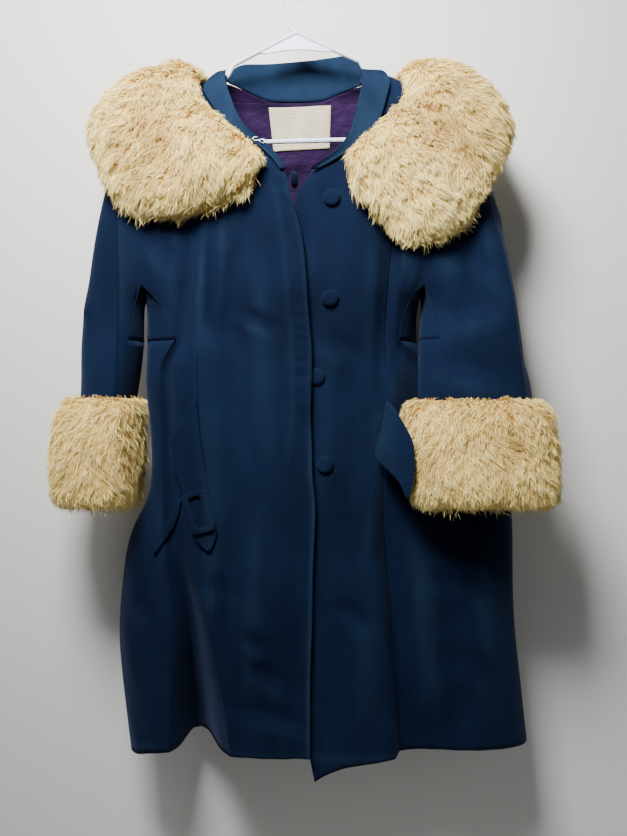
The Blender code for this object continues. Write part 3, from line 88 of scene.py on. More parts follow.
# Soft upright folds of the fronts: top x, foot x, top z, foot z, then width and depth.
DRAPES = np.array([
    (-0.132, -0.150, -0.330, -0.560, 0.012, 0.0035),
    (-0.108, -0.112, -0.345, -0.520, 0.009, 0.0026),
    (-0.085, -0.070, -0.400, -0.700, 0.020, 0.0024),
    (-0.150, -0.140, -0.620, -0.960, 0.022, 0.0030),
    (-0.075, -0.095, -0.760, -1.060, 0.018, 0.0026),
    (0.145, 0.128, -0.360, -0.640, 0.012, 0.0034),
    (0.165, 0.150, -0.420, -0.600, 0.009, 0.0024),
    (0.095, 0.080, -0.520, -0.860, 0.022, 0.0026),
    (0.140, 0.170, -0.740, -1.080, 0.022, 0.0032),
    (0.230, 0.245, -0.800, -1.090, 0.026, 0.0030),
    (0.075, 0.070, -0.900, -1.090, 0.018, 0.0022),
    (-0.270, -0.262, -0.300, -0.520, 0.014, 0.0026),
    (0.245, 0.262, -0.300, -0.500, 0.016, 0.0030)])

# The line where the front facing ends, a low ridge inside the edge: height and place.
FACING_RIDGE = np.array([
    (-0.300, -0.024), (-0.370, -0.010), (-0.444, -0.003), (-0.527, 0.004), (-0.619, 0.007),
    (-0.675, 0.002), (-0.724, -0.001)])

# Where the sleeves hang free of the body: their tops, their ends and their inner sides.
ARMPIT_Z, SLEEVE_END_Z = -0.451, -0.757
RIGHT_SLEEVE_X, LEFT_SLEEVE_X = -0.2115, 0.178

# The slits between the arms and the body, where both sides are cloth.
SLIT_Z = (-0.58, -0.42)
SLITS_X = ((-0.228, -0.170), (0.145, 0.225))

# How far a face may turn towards the other side of the coat and still be an outer one.
TURN = 0.15

HEM_Z, HEM_STITCH_Z = -1.117, -1.049

# For each node of cloth, the width and length of what shows of its cut, and its flat area.
CLOTH_AREAS = {
    "back_and_sleeves": (0.92, 1.02, 0.690),
    "front_left_centre": (0.17, 1.02, 0.130),
    "front_left_side_and_sleeve": (0.36, 0.99, 0.206),
    "front_right_centre": (0.19, 0.98, 0.137),
    "front_right_side_and_sleeve": (0.30, 1.00, 0.154),
    "gusset_left": (0.17, 0.12, 0.0150),
    "gusset_right": (0.17, 0.13, 0.0170),
    "collar_stand": (0.26, 0.06, 0.0122),
    "neck_facing_left": (0.05, 0.17, 0.0056),
    "neck_facing_right": (0.04, 0.17, 0.0043),
    "belt_tab_left": (0.06, 0.14, 0.0054),
    "belt_tab_right": (0.06, 0.22, 0.0083),
    "pocket_welt_left": (0.014, 0.10, 0.0010),
    "pocket_welt_right": (0.014, 0.10, 0.0010),
    "lining_back": (0.30, 0.18, 0.0420),
    "label": (0.095, 0.068, 0.0059),
}


class Tube(Enum):
    """Which tube of cloth a point belongs to."""

    BODY = 0
    RIGHT_SLEEVE = 1
    LEFT_SLEEVE = 2


class Shader:
    """A material's node tree, with one method that adds any node."""

    def __init__(self, name: str) -> None:
        """Starts a material with a Principled surface.

        Args:
            name: the material's name.
        """
        self.material = bpy.data.materials.new(name)
        self.material.use_nodes = True
        self.tree = self.material.node_tree
        self.surface = self.tree.nodes["Principled BSDF"]

    def node(self, kind: str, output: int | str = 0, settings: dict | None = None,
             **sockets: object) -> Socket:
        """Adds a node.

        Args:
            kind: the node's type.
            output: which of its outputs is wanted.
            settings: its properties, set first.
            sockets: values or links of its inputs, named with _ for a space or by i and a number.

        Returns:
            The wanted output.
        """
        made = self.tree.nodes.new(kind)
        for key, value in (settings or {}).items():
            setattr(made, key, value)
        for key, value in sockets.items():
            number = key[1:]
            socket = (made.inputs[int(number)] if key[0] == "i" and number.isdigit()
                      else made.inputs[key.replace("_", " ")])
            self.join(socket, value)
        return Socket(self, made.outputs[output])

    def join(self, socket: bpy.types.NodeSocket, value: object) -> None:
        """Links or sets an input."""
        if isinstance(value, Socket):
            self.tree.links.new(value.link, socket)
        else:
            socket.default_value = value

    def set(self, **sockets: object) -> bpy.types.Material:
        """Sets or links the surface's inputs, and returns the material."""
        for key, value in sockets.items():
            self.join(self.surface.inputs[key.replace("_", " ")], value)
        return self.material

    def place(self) -> Socket:
        """Object coordinates."""
        return self.node("ShaderNodeTexCoord", "Object")

    def noise(self, scale: float, detail: float = 3.0, stretch: tuple | None = None) -> Socket:
        """Noise at a scale, drawn out along the axes where stretch is given."""
        place = self.place()
        if stretch:
            place = self.node("ShaderNodeMapping", 0, None, Vector=place, Scale=stretch)
        return self.node("ShaderNodeTexNoise", 0, None, Vector=place, Scale=scale, Detail=detail)

    def attribute(self, name: str) -> Socket:
        """A number stored on the mesh."""
        return self.node("ShaderNodeAttribute", "Fac", {"attribute_name": name})

    def mix(self, share: object, first: object, second: object) -> Socket:
        """A colour between two, by share."""
        return self.node("ShaderNodeMix", 2, {"data_type": "RGBA"}, i0=share, i6=first, i7=second)

    def bump(self, height: Socket, distance: float, strength: float = 1.0) -> Socket:
        """A bumped normal."""
        return self.node("ShaderNodeBump", 0, None, Height=height, Distance=distance,
                         Strength=strength)


class Socket:
    """A node's output; arithmetic on it adds Math nodes."""

    def __init__(self, shader: Shader, link: bpy.types.NodeSocket) -> None:
        """Wraps an output of a shader's node."""
        self.shader, self.link = shader, link

    def calculate(self, operation: str, first: object, second: object) -> Socket:
        """A Math node of two values."""
        return self.shader.node("ShaderNodeMath", 0, {"operation": operation}, i0=first, i1=second)

    def __add__(self, other: object) -> Socket:
        """Sum."""
        return self.calculate("ADD", self, other)

    __radd__ = __add__

    def __mul__(self, other: object) -> Socket:
        """Product."""
        return self.calculate("MULTIPLY", self, other)

    __rmul__ = __mul__

    def __sub__(self, other: object) -> Socket:
        """Difference."""
        return self.calculate("SUBTRACT", self, other)

    def __rsub__(self, other: object) -> Socket:
        """Difference, reflected."""
        return self.calculate("SUBTRACT", other, self)

    def clamp(self) -> Socket:
        """Kept between 0 and 1."""
        return self.shader.node("ShaderNodeClamp", 0, None, Value=self)


@dataclass(frozen=True)
class Velveteen:
    """Matt cotton pile: faded in soft patches, worn lighter at its edges, with a painted highlight
    on its crease crests.
    """

    name: str = "velveteen"
    dark: tuple = (0.0015, 0.0044, 0.0155, 1.0)
    light: tuple = (0.0044, 0.0128, 0.0400, 1.0)
    # The colour of rubbed pile, also laid on the crease crests as a painted highlight.
    worn: tuple = (0.014, 0.036, 0.070, 1.0)

    def material(self) -> bpy.types.Material:
        """Builds the finish."""
        shader = Shader(self.name)
        patches = shader.noise(5.0, 4.0)
        brushed = shader.noise(42.0, 3.0, (1.0, 1.0, 0.35))
        nap = shader.noise(620.0, 2.0)
        share = ((patches - 0.5) * 1.5 + (brushed - 0.5) * 0.7 + (nap - 0.5) * 0.35 + 0.45).clamp()
        colour = shader.mix(share, self.dark, self.light)
        # Towards the worn colour where the pile is rubbed, and where the painted highlight lies on
        # the crease crests.
        colour = shader.mix((shader.attribute("pile_paling") * (brushed + 0.35)).clamp(), colour,
                            self.worn)
        height = nap * 0.6 + brushed * 1.2 + shader.noise(160.0, 2.0) * 0.8
        return shader.set(Base_Color=colour, Roughness=0.88, Sheen_Weight=0.10,
                          Sheen_Roughness=0.45, Sheen_Tint=(0.30, 0.42, 0.80, 1.0),
                          Specular_IOR_Level=0.07, Normal=shader.bump(height, 0.0009, 0.8))


@dataclass(frozen=True)
class Satin:
    """The purple lining, with fine weft and soft wrinkles, their shade and sheen painted into its
    colour.
    """

    name: str = "satin"
    # The painted shade of the wrinkles' troughs, then the painted sheen of their crests.
    dark: tuple = (0.006, 0.002, 0.014, 1.0)
    light: tuple = (0.026, 0.008, 0.048, 1.0)

    def material(self) -> bpy.types.Material:
        """Builds the finish."""
        shader = Shader(self.name)
        wrinkles = shader.noise(18.0, 5.0, (1.0, 1.0, 1.8))
        # Painted shade and sheen: the colour follows the same wrinkle noise that bumps the surface.
        colour = shader.mix(((wrinkles - 0.5) * 2.4 + 0.5).clamp(), self.dark, self.light)
        height = wrinkles * 8.0 + shader.noise(900.0, 1.0, (0.2, 1.0, 1.0)) * 0.25
        return shader.set(Base_Color=colour, Roughness=0.60, Specular_IOR_Level=0.05,
                          Normal=shader.bump(height, 0.0011, 0.9))


@dataclass(frozen=True)
class Fur:
    """Cream pile: tan at the root and in stained patches, whiter at the tip."""

    name: str = "fur"
    root: tuple = (0.64, 0.40, 0.12, 1.0)
    middle: tuple = (0.95, 0.73, 0.24, 1.0)
    tip: tuple = (0.98, 0.89, 0.43, 1.0)
    stain: tuple = (0.55, 0.32, 0.09, 1.0)

    def material(self) -> bpy.types.Material:
        """Builds the finish."""
        shader = Shader(self.name)
        along = shader.attribute("along")
        stained = shader.attribute("stain")
        streak = shader.attribute("streak")
        colour = shader.mix((along * 2.2).clamp(), self.root, self.middle)
        colour = shader.mix(((along - 0.45) * 1.6).clamp(), colour, self.tip)
        colour = shader.mix((stained * (1.15 - along * 0.5)).clamp(), colour, self.stain)
        colour = shader.mix((streak * 0.30).clamp(), colour, (0.60, 0.42, 0.15, 1.0))
        return shader.set(Base_Color=colour, Roughness=0.62, Specular_IOR_Level=0.12)


@dataclass(frozen=True)
class LabelWeave:
    """A bare woven label: cream satin ground with a fine weft."""

    name: str = "label_weave"
    ground: tuple = (0.40, 0.33, 0.20, 1.0)
    shine: tuple = (0.52, 0.45, 0.31, 1.0)

    def material(self) -> bpy.types.Material:
        """Builds the finish."""
        shader = Shader(self.name)
        weft = shader.noise(700.0, 1.0, (0.08, 1.0, 1.0))
        soiled = shader.noise(30.0, 3.0)
        colour = shader.mix(((weft - 0.5) * 1.3 + (soiled - 0.5) * 0.9 + 0.5).clamp(),
                            self.ground, self.shine)
        return shader.set(Base_Color=colour, Roughness=0.5,
                          Normal=shader.bump(weft + soiled, 0.0006, 0.8))


@dataclass(frozen=True)
class Plastic:
    """The hanger's white plastic, faintly lavender, with a moulded grain."""

    name: str = "hanger_plastic"
    colour: tuple = (0.76, 0.79, 0.93, 1.0)
    scuffed: tuple = (0.62, 0.65, 0.80, 1.0)

    def material(self) -> bpy.types.Material:
        """Builds the finish."""
        shader = Shader(self.name)
        grain = shader.noise(420.0, 2.0)
        smear = shader.noise(24.0, 3.0)
        colour = shader.mix(((smear - 0.45) * 1.4).clamp(), self.colour, self.scuffed)
        return shader.set(Base_Color=colour, Roughness=0.34, Specular_IOR_Level=0.5,
                          Normal=shader.bump(grain, 0.0002, 0.5))


@dataclass(frozen=True)
class Steel:
    """Plated wire of the hook and eye."""

    name: str = "hook_wire"

    def material(self) -> bpy.types.Material:
        """Builds the finish."""
        shader = Shader(self.name)
        tarnish = shader.noise(300.0, 2.0)
        colour = shader.mix(tarnish, (0.32, 0.31, 0.30, 1.0), (0.62, 0.61, 0.60, 1.0))
        return shader.set(Base_Color=colour, Roughness=0.35, Metallic=1.0)


@dataclass(frozen=True)
class Paint:
    """A plain matt surface of the studio, clear from its reverse side."""

    name: str
    colour: tuple

    def material(self) -> bpy.types.Material:
        """Builds the finish."""
        shader = Shader(self.name)
        colour = shader.mix(shader.noise(3.0, 2.0), self.colour,
                            tuple(0.97 * c for c in self.colour[:3]) + (1.0,))
        shader.set(Base_Color=colour, Roughness=0.95, Specular_IOR_Level=0.1)
        clear = shader.node("ShaderNodeBsdfTransparent")
        reverse = shader.node("ShaderNodeNewGeometry", "Backfacing")
        seen = shader.node("ShaderNodeMixShader", 0, None, i0=reverse,
                           i1=Socket(shader, shader.surface.outputs[0]), i2=clear)
        shader.join(shader.tree.nodes["Material Output"].inputs["Surface"], seen)
        return shader.material


def mesh_object(name: str, points: np.ndarray, faces: list | np.ndarray) -> bpy.types.Object:
    """A mesh object at the origin.

    Args:
        name: the object's name.
        points: its corners, in metres.
        faces: its faces, as corner numbers.

    Returns:
        The object, linked to the scene.
    """
    mesh = bpy.data.meshes.new(name)
    faces = faces.tolist() if isinstance(faces, np.ndarray) else faces
    mesh.from_pydata(points.tolist(), [], faces)
    piece = bpy.data.objects.new(name, mesh)
    bpy.context.scene.collection.objects.link(piece)
    return piece


def put_attribute(mesh: bpy.types.Mesh, name: str, values: np.ndarray) -> None:
    """Stores one number for each corner of a mesh."""
    layer = mesh.attributes.new(name, "FLOAT", "POINT")
    layer.data.foreach_set("value", values.astype(np.float32))


def corners(mesh: bpy.types.Mesh) -> np.ndarray:
    """A mesh's corners as rows of x, y, z."""
    flat = np.zeros(len(mesh.vertices) * 3, np.float32)
    mesh.vertices.foreach_get("co", flat)
    return flat.reshape(-1, 3).astype(float)


def waves(place: np.ndarray, size: float, seed: int) -> np.ndarray:
    """Smooth noise from -1 to 1: a sum of six sine waves in fixed directions."""
    chance = np.random.default_rng(seed)
    ways = chance.normal(size=(6, 3))
    ways /= np.linalg.norm(ways, axis=1, keepdims=True)
    pace = chance.uniform(0.6, 1.5, 6) * 2 * math.pi / size
    shift = chance.uniform(0, 2 * math.pi, 6)
    return np.sin(place @ ways.T * pace + shift).mean(1) * 1.6


def refined(node: bpy.types.Object, name: str, levels: int) -> bpy.types.Object:
    """A smooth copy of a CAD node: merged, made of quads, its rims kept sharp, and subdivided.

    Args:
        node: the CAD node.
        name: the new piece's name.
        levels: how many times it is subdivided.

    Returns:
        The new piece.
    """
    sheet = bmesh.new()
    sheet.from_mesh(node.data)
    bmesh.ops.remove_doubles(sheet, verts=sheet.verts, dist=2e-5)
    bmesh.ops.join_triangles(sheet, faces=sheet.faces, angle_face_threshold=math.radians(35),
                             angle_shape_threshold=math.radians(60))
    rim = sheet.edges.layers.float.new("crease_edge")
    for edge in sheet.edges:
        if len(edge.link_faces) == 2 and edge.calc_face_angle(0.0) > math.radians(52):
            edge[rim] = 1.0
    mesh = bpy.data.meshes.new(name)
    sheet.to_mesh(mesh)
    sheet.free()
    piece = bpy.data.objects.new(name, mesh)
    bpy.context.scene.collection.objects.link(piece)
    smoother = piece.modifiers.new("smooth", "SUBSURF")
    smoother.levels = smoother.render_levels = levels
    bpy.context.view_layer.update()
    graph = bpy.context.evaluated_depsgraph_get()
    done = bpy.data.meshes.new_from_object(piece.evaluated_get(graph))
    piece.modifiers.clear()
    piece.data = done
    piece.data.materials.clear()
    return piece


def tube_of(place: np.ndarray) -> np.ndarray:
    """Which tube each point belongs to, as the numbers of Tube."""
    free = (place[:, 2] < ARMPIT_Z) & (place[:, 2] > SLEEVE_END_Z)
    right = free & (place[:, 0] < RIGHT_SLEEVE_X)
    left = free & (place[:, 0] > LEFT_SLEEVE_X) & (
        place[:, 1] < np.interp(-place[:, 2], [0.451, 0.50, 0.56, 0.64, 0.757],
                                [0.05, 0.008, -0.016, -0.036, -0.046]))
    return np.where(right, Tube.RIGHT_SLEEVE.value,
                    np.where(left, Tube.LEFT_SLEEVE.value, Tube.BODY.value))


def axis_of(place: np.ndarray, tube: np.ndarray) -> np.ndarray:
    """The nearest point of each tube's middle."""
    middle = place.copy()
    height = -place[:, 2]
    low = np.interp(height, [0.14, 0.3, 0.45, 1.12], [-0.04, -0.19, -0.19, -0.16])
    high = np.interp(height, [0.14, 0.3, 0.45, 0.56, 0.7, 1.12],
                     [0.06, 0.21, 0.20, 0.10, 0.17, 0.27])
    middle[:, 0] = np.clip(place[:, 0], low, high)
    middle[:, 1] = np.interp(height, [0.14, 0.45, 0.6, 1.12], [0.003, 0.003, 0.006, 0.014])
    right = tube == Tube.RIGHT_SLEEVE.value
    left = tube == Tube.LEFT_SLEEVE.value
    middle[right, :2] = (-0.264, -0.010)
    middle[left, 0] = np.clip(place[left, 0], 0.215, 0.305)
    middle[left, 1] = np.interp(height[left], [0.451, 0.50, 0.56, 0.64, 0.757],
                                [-0.020, -0.031, -0.050, -0.065, -0.072])
    return middle


def inside_faces(mesh: bpy.types.Mesh, node: str) -> np.ndarray:
    """Which faces look into the garment; both sides of the slits at the arms stay cloth.

    Args:
        mesh: a panel.
        node: the panel's node.

    Returns:
        True for each face of the inner side.
    """
    count = len(mesh.polygons)
    centre, normal = np.zeros(count * 3, np.float32), np.zeros(count * 3, np.float32)
    mesh.polygons.foreach_get("center", centre)
    mesh.polygons.foreach_get("normal", normal)
    centre, normal = centre.reshape(-1, 3).astype(float), normal.reshape(-1, 3)
    away = centre - axis_of(centre, tube_of(centre))
    inner = (away * normal).sum(1) < 0
    inner &= normal[:, 1] < TURN if node == "back_and_sleeves" else normal[:, 1] > -TURN
    x, z = centre[:, 0], centre[:, 2]
    beside = np.logical_or.reduce([(x > low) & (x < high) for low, high in SLITS_X])
    return inner & ~((z > SLIT_Z[0]) & (z < SLIT_Z[1]) & beside)


def crease_depth(x: np.ndarray, z: np.ndarray) -> np.ndarray:
    """Depth of the pressed creases: a soft trough with a low ridge beside it along each line."""
    total = np.zeros_like(x)
    for x0, z0, x1, z1, width, depth in FRONT_CREASES:
        run = np.array([x1 - x0, z1 - z0])
        length = np.hypot(*run)
        along = ((x - x0) * run[0] + (z - z0) * run[1]) / length ** 2
        across = ((x - x0) * run[1] - (z - z0) * run[0]) / length
        fade = np.clip(1 - (np.abs(along - 0.5) / 0.62) ** 2, 0, 1) ** 1.5
        total += depth * fade * (np.exp(-(across / width) ** 2)
                                 - 0.55 * np.exp(-((across - 1.7 * width) / width) ** 2))
    return total


def edge_depth(x: np.ndarray, z: np.ndarray) -> np.ndarray:
    """Depth on the over front: the facing's ridge, puckers, the turned edge and hem stitches."""
    ridge = np.interp(-z, -FACING_RIDGE[:, 0], FACING_RIDGE[:, 1])
    edge = np.interp(-z, -OVER_EDGE[:, 0], OVER_EDGE[:, 1])
    live = np.clip((z + 0.735) / 0.03, 0, 1) * np.clip((-0.29 - z) / 0.03, 0, 1)
    total = -0.0013 * np.exp(-((x - ridge) / 0.0045) ** 2) * live
    band = np.exp(-((x - (ridge + edge) / 2) / 0.012) ** 2)
    pucker = np.sin(z * 330 + 3 * np.sin(z * 47)) * (0.5 + 0.5 * np.sin(z * 21 + 1))
    total += 0.0006 * band * pucker * np.clip(0.4 + live, 0, 1)
    total -= 0.0009 * np.exp(-((x - edge + 0.003) / 0.003) ** 2)
    return total + 0.0007 * np.exp(-((z - HEM_STITCH_Z) / 0.004) ** 2)


def drape_depth(x: np.ndarray, z: np.ndarray) -> np.ndarray:
    """Depth of the soft folds that fall from the shoulders and the waist."""
    total = np.zeros_like(x)
    for x0, x1, high, low, width, depth in DRAPES:
        share = np.clip((high - z) / (high - low), 0, 1)
        fade = np.sin(math.pi * share) ** 0.7 * ((z < high) & (z > low))
        across = (x - x0 - (x1 - x0) * share) / width
        total += depth * fade * (np.exp(-across ** 2) - 0.6 * np.exp(-(across - 1.8) ** 2)
                                 - 0.3 * np.exp(-(across + 1.8) ** 2))
    return total


def unevenness(place: np.ndarray) -> np.ndarray:
    """The cloth's slow unevenness, the same for pieces that touch."""
    slow = 0.0016 * waves(place * (1, 0.2, 0.45), 0.085, 11)
    slow += 0.0010 * waves(place * (1, 0.2, 0.6), 0.040, 12)
    return slow * np.clip((place[:, 2] + 1.16) / 0.02, 0, 1)


@dataclass
class ClothPanel:
    """A panel of velveteen, lined inside, with its pressed creases and worn edges."""

    node: str
    levels: int = 2
    lined: bool = True

    def build(self, nodes: dict, cloth: bpy.types.Material,
              lining: bpy.types.Material) -> bpy.types.Object:
        """Makes the panel's shell and stands it in for its solid.

        Args:
            nodes: the CAD nodes by name.
            cloth: the outer finish.
            lining: the inner finish.

        Returns:
            The shell.
        """
        piece = refined(nodes[self.node], self.node + "_cloth", self.levels)
        mesh = piece.data
        mesh.materials.append(cloth)
        mesh.materials.append(lining)
        if self.lined:
            inner = inside_faces(mesh, self.node).astype(np.int32)
            mesh.polygons.foreach_set("material_index", inner)
        place = corners(mesh)
        relief = self.relief(place)
        # Painted light from the relief: the crease crests paler as a painted highlight, their
        # troughs a little darker as painted shade.
        ridges = np.clip(-(relief - unevenness(place)) * 95, -0.1, 0.30)
        put_attribute(mesh, "pile_paling", np.clip(self.pile_paling(place) + ridges, 0, 1))
        place[:, 1] += relief
        mesh.vertices.foreach_set("co", place.ravel())
        mesh.shade_smooth()
        mesh.set_sharp_from_angle(angle=math.radians(50))
        mesh.update()
        return register(piece, self.node)

    def relief(self, place: np.ndarray) -> np.ndarray:
        """How far each corner moves back: creases, edge ridges and a slow unevenness."""
        x, z = place[:, 0], place[:, 2]
        total = unevenness(place)
        if self.node == "back_and_sleeves":
            return total + crease_depth(0.02 - x, z) * np.clip(place[:, 1] / 0.03, 0, 1)
        if self.node.startswith(("front", "gusset", "belt", "buckle", "pocket", "button")):
            total = total + 2.1 * crease_depth(x, z) + 1.6 * drape_depth(x, z)
        if self.node == "front_right_centre":
            total = total + edge_depth(x, z)
        return total

    def pile_paling(self, place: np.ndarray) -> np.ndarray:
        """Where the pile is rubbed: the free edge of the front, the hem and the pieces at the neck.
        """
        x, z = place[:, 0], place[:, 2]
        worn = 0.35 * np.exp(-((z - HEM_Z) / 0.006) ** 2)
        if self.node == "front_right_centre":
            edge = np.interp(-z, -OVER_EDGE[:, 0], OVER_EDGE[:, 1])
            low = np.clip((-0.62 - z) / 0.08, 0.25, 1)
            worn += 0.9 * np.exp(-((x - edge) / 0.0045) ** 2) * low
        if self.node in ("collar_stand", "neck_facing_right", "neck_facing_left"):
            worn += 0.42
        return np.clip(worn, 0, 1)


def register(piece: bpy.types.Object, node: str) -> bpy.types.Object:
    """Rides a piece on the coat in place of a node."""
    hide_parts(node)
    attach(piece, "root")
    node in CLOTH_AREAS
    LOG.info("%s stands for %s, %d corners", piece.name, node, len(piece.data.vertices))
    return piece


@dataclass
class FurTrim:
    """A fur piece: a skin just inside its solid, and pile of tapered ribbons in locks.

    A ribbon bends from its root p to its tip q as (1 - t)^2 p + 2 t (1 - t) b + t^2 q, where t
    runs from 0 to 1. The point b stands above the root, and q lies the way the pile is combed,
    drawn towards the middle of its lock.
    """

    node: str
    hairs: int
    parts: int
    length: float
    rise: float
    seed: int
    stains: tuple = ()
    skin_depth: float = 0.005
    half_width: float = 0.00050
    lock_size: float = 0.0115

    def build(self, nodes: dict, fur: bpy.types.Material) -> list[bpy.types.Object]:
        """Makes the skin and its pile.

        Args:
            nodes: the CAD nodes by name.
            fur: the fur's finish.

        Returns:
            The skin, then the pile's parts.
        """
        skin = refined(nodes[self.node], self.node + "_skin", 2)
        mesh = skin.data
        place, normal = corners(mesh), self.normals(mesh)
        mesh.materials.append(fur)
        mesh.vertices.foreach_set("co", (place - normal * self.skin_depth).ravel())
        put_attribute(mesh, "along", np.full(len(place), 0.18))
        put_attribute(mesh, "stain", self.stain(place))
        put_attribute(mesh, "streak", np.zeros(len(place)))
        mesh.shade_smooth()
        mesh.update()
        register(skin, self.node)
        made = [skin]
        for part in range(self.parts):
            made.append(self.pile(part, mesh, fur))
        return made

    @staticmethod
    def normals(mesh: bpy.types.Mesh) -> np.ndarray:
        """Corner normals of a mesh."""
        flat = np.zeros(len(mesh.vertices) * 3, np.float32)
        mesh.vertices.foreach_get("normal", flat)
        return flat.reshape(-1, 3).astype(float)

    def stain(self, place: np.ndarray) -> np.ndarray:
        """How stained each place is: soft round spots, broken up by noise."""
        total = np.zeros(len(place))
        for x, y, z, size, strength in self.stains:
            away = ((place - (x, y, z)) ** 2).sum(1) / size ** 2
            total += strength * np.exp(-away)
        total += 0.34 * np.clip(waves(place, 0.10, self.seed + 40), 0, 1)
        return np.clip(total * (0.85 + 0.5 * waves(place, 0.03, self.seed + 41)), 0, 1)

    def combed(self, place: np.ndarray, normal: np.ndarray) -> np.ndarray:
        """The way the pile lies: down and outwards along the skin, turned by slow waves."""
        middle = 0.007 if self.node == "collar_fur" else float(place[:, 0].mean())
        spread = 0.75 if self.node == "collar_fur" else 0.25
        way = np.zeros_like(place)
        reach = max(float(np.ptp(place[:, 0])) / 2, 0.01)
        way[:, 0] = spread * (place[:, 0] - middle) / reach
        way[:, 2] = -1.0
        way -= normal * (way * normal).sum(1, keepdims=True)
        way /= np.maximum(np.linalg.norm(way, axis=1, keepdims=True), 1e-6)
        side = np.cross(normal, way)
        turn = 0.75 * waves(place, 0.075, self.seed) + 0.45 * waves(place, 0.028, self.seed + 1)
        return way * np.cos(turn)[:, None] + side * np.sin(turn)[:, None]

    def pile(self, part: int, mesh: bpy.types.Mesh, fur: bpy.types.Material) -> bpy.types.Object:
        """One part of the pile as a single mesh of ribbons.

        Args:
            part: which part this is.
            mesh: the skin.
            fur: the fur's finish.

        Returns:
            The part.
        """
        chance = np.random.default_rng(self.seed * 100 + part)
        mesh.calc_loop_triangles()
        count = len(mesh.loop_triangles)
        index = np.zeros(count * 3, np.int32)
        mesh.loop_triangles.foreach_get("vertices", index)
        index = index.reshape(-1, 3)
        place, normal = corners(mesh), self.normals(mesh)
        a, b, c = (place[index[:, k]] for k in range(3))
        area = np.linalg.norm(np.cross(b - a, c - a), axis=1)
        facing = normal[index].mean(1)
        area *= self.shown(a, facing)
        pick = chance.choice(count, self.hairs // self.parts, p=area / area.sum())
        u, v = chance.random(len(pick)), chance.random(len(pick))
        flip = u + v > 1
        u[flip], v[flip] = 1 - u[flip], 1 - v[flip]
        weights = np.stack([1 - u - v, u, v], 1)
        root = (place[index[pick]] * weights[:, :, None]).sum(1)
        up = (normal[index[pick]] * weights[:, :, None]).sum(1)
        up /= np.maximum(np.linalg.norm(up, axis=1, keepdims=True), 1e-6)
        sunk = self.skin_depth * np.clip(1 - up[:, 2:], 0, 1)
        return self.ribbons(part, root - up * sunk, up, chance, fur)

    def shown(self, place: np.ndarray, facing: np.ndarray) -> np.ndarray:
        """How thick the pile grows: thin where the fur lies on cloth, full where it shows."""
        if self.node == "collar_fur":
            front = place[:, 1] < 0.02
            inward = np.where(front, facing[:, 1] > 0.35, facing[:, 1] < -0.35)
            return np.where(inward, 0.12, np.where(front, 1.0, 0.6))
        sleeve = Tube.RIGHT_SLEEVE if self.node == "cuff_right" else Tube.LEFT_SLEEVE
        middle = axis_of(place, np.full(len(place), sleeve.value))
        middle[:, 2] = place[:, 2]
        inward = ((place - middle) * facing).sum(1) < 0
        return np.where(inward, 0.08, np.where(facing[:, 1] < 0.3, 1.0, 0.6))

    def ribbons(self, part: int, root: np.ndarray, up: np.ndarray, chance: np.random.Generator,
                fur: bpy.types.Material) -> bpy.types.Object:
        """Grows ribbons from roots, gathers their tips into locks and joins them in one mesh.

        Args:
            part: which part this is.
            root: where each ribbon starts.
            up: the skin's normal there.
            chance: the seeded source of variety.
            fur: the fur's finish.

        Returns:
            The pile's part.
        """
        count = len(root)
        comb = self.combed(root, up)
        length = self.length * chance.uniform(0.72, 1.18, count)
        length *= 1 + 0.22 * waves(root, 0.05, self.seed + 5)
        length *= 1 - 0.42 * np.clip(-up[:, 2], 0, 1) - 0.25 * np.clip(up[:, 2], 0, 1)
        lift = self.rise * chance.uniform(0.7, 1.3, count)
        lift += 0.16 * waves(root, 0.022, self.seed + 6)
        lift = np.clip(lift, 0.10, 0.85)
        tip = root + length[:, None] * (lift[:, None] * up + (1 - lift[:, None]) * comb)
        cell = np.floor(root / self.lock_size + 0.35 * np.sin(root[:, ::-1] * 260)).astype(np.int64)
        _, lock = np.unique(cell, axis=0, return_inverse=True)
        lock = lock.ravel()
        size = np.bincount(lock)
        gathered = np.stack([np.bincount(lock, tip[:, k]) / size for k in range(3)], 1)[lock]
        pull = chance.uniform(0.25, 0.7, count)[:, None]
        tip = tip + (gathered - tip) * pull
        droop = np.array([0.0, 0.0, -1.0]) * (length * 0.10)[:, None]
        bend = root + length[:, None] * up * (lift[:, None] * 0.75) + comb * (
            length * 0.18)[:, None]
        share = np.array([0.0, 0.36, 0.70, 1.0])
        line = ((1 - share)[:, None, None] ** 2 * root
                + (2 * share * (1 - share))[:, None, None] * bend
                + (share ** 2)[:, None, None] * (tip + droop))
        curl = np.cross(up, comb) * (length * 0.10 * chance.normal(size=count))[:, None]
        line += np.sin(share * math.pi * 1.6)[:, None, None] * curl
        across = np.cross(line[-1] - line[0], up + 0.7 * chance.normal(size=(count, 3)))
        across /= np.maximum(np.linalg.norm(across, axis=1, keepdims=True), 1e-9)
        width = self.half_width * chance.uniform(0.7, 1.35, count)
        half = across * width[:, None]
        rows = [line[0] - half, line[0] + half, line[1] - half * 0.9, line[1] + half * 0.9,
                line[2] - half * 0.62, line[2] + half * 0.62, line[3]]
        points = np.stack(rows, 1).reshape(-1, 3)
        start = np.arange(count)[:, None] * 7
        faces = np.concatenate([start + (0, 1, 3), start + (0, 3, 2), start + (2, 3, 5),
                                start + (2, 5, 4), start + (4, 5, 6)])
        piece = mesh_object(f"{self.node}_pile_{part + 1}", points, faces)
        mesh = piece.data
        mesh.materials.append(fur)
        along = np.tile([0.0, 0.0, 0.36, 0.36, 0.70, 0.70, 1.0], count)
        put_attribute(mesh, "along", along + np.repeat(chance.normal(0, 0.09, count), 7))
        put_attribute(mesh, "stain", np.repeat(self.stain(root), 7))
        put_attribute(mesh, "streak", np.repeat(chance.random(count) ** 3, 7))
        mesh.shade_smooth()
        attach(piece, "root")
        LOG.info("%s: %d ribbons", piece.name, count)
        return piece


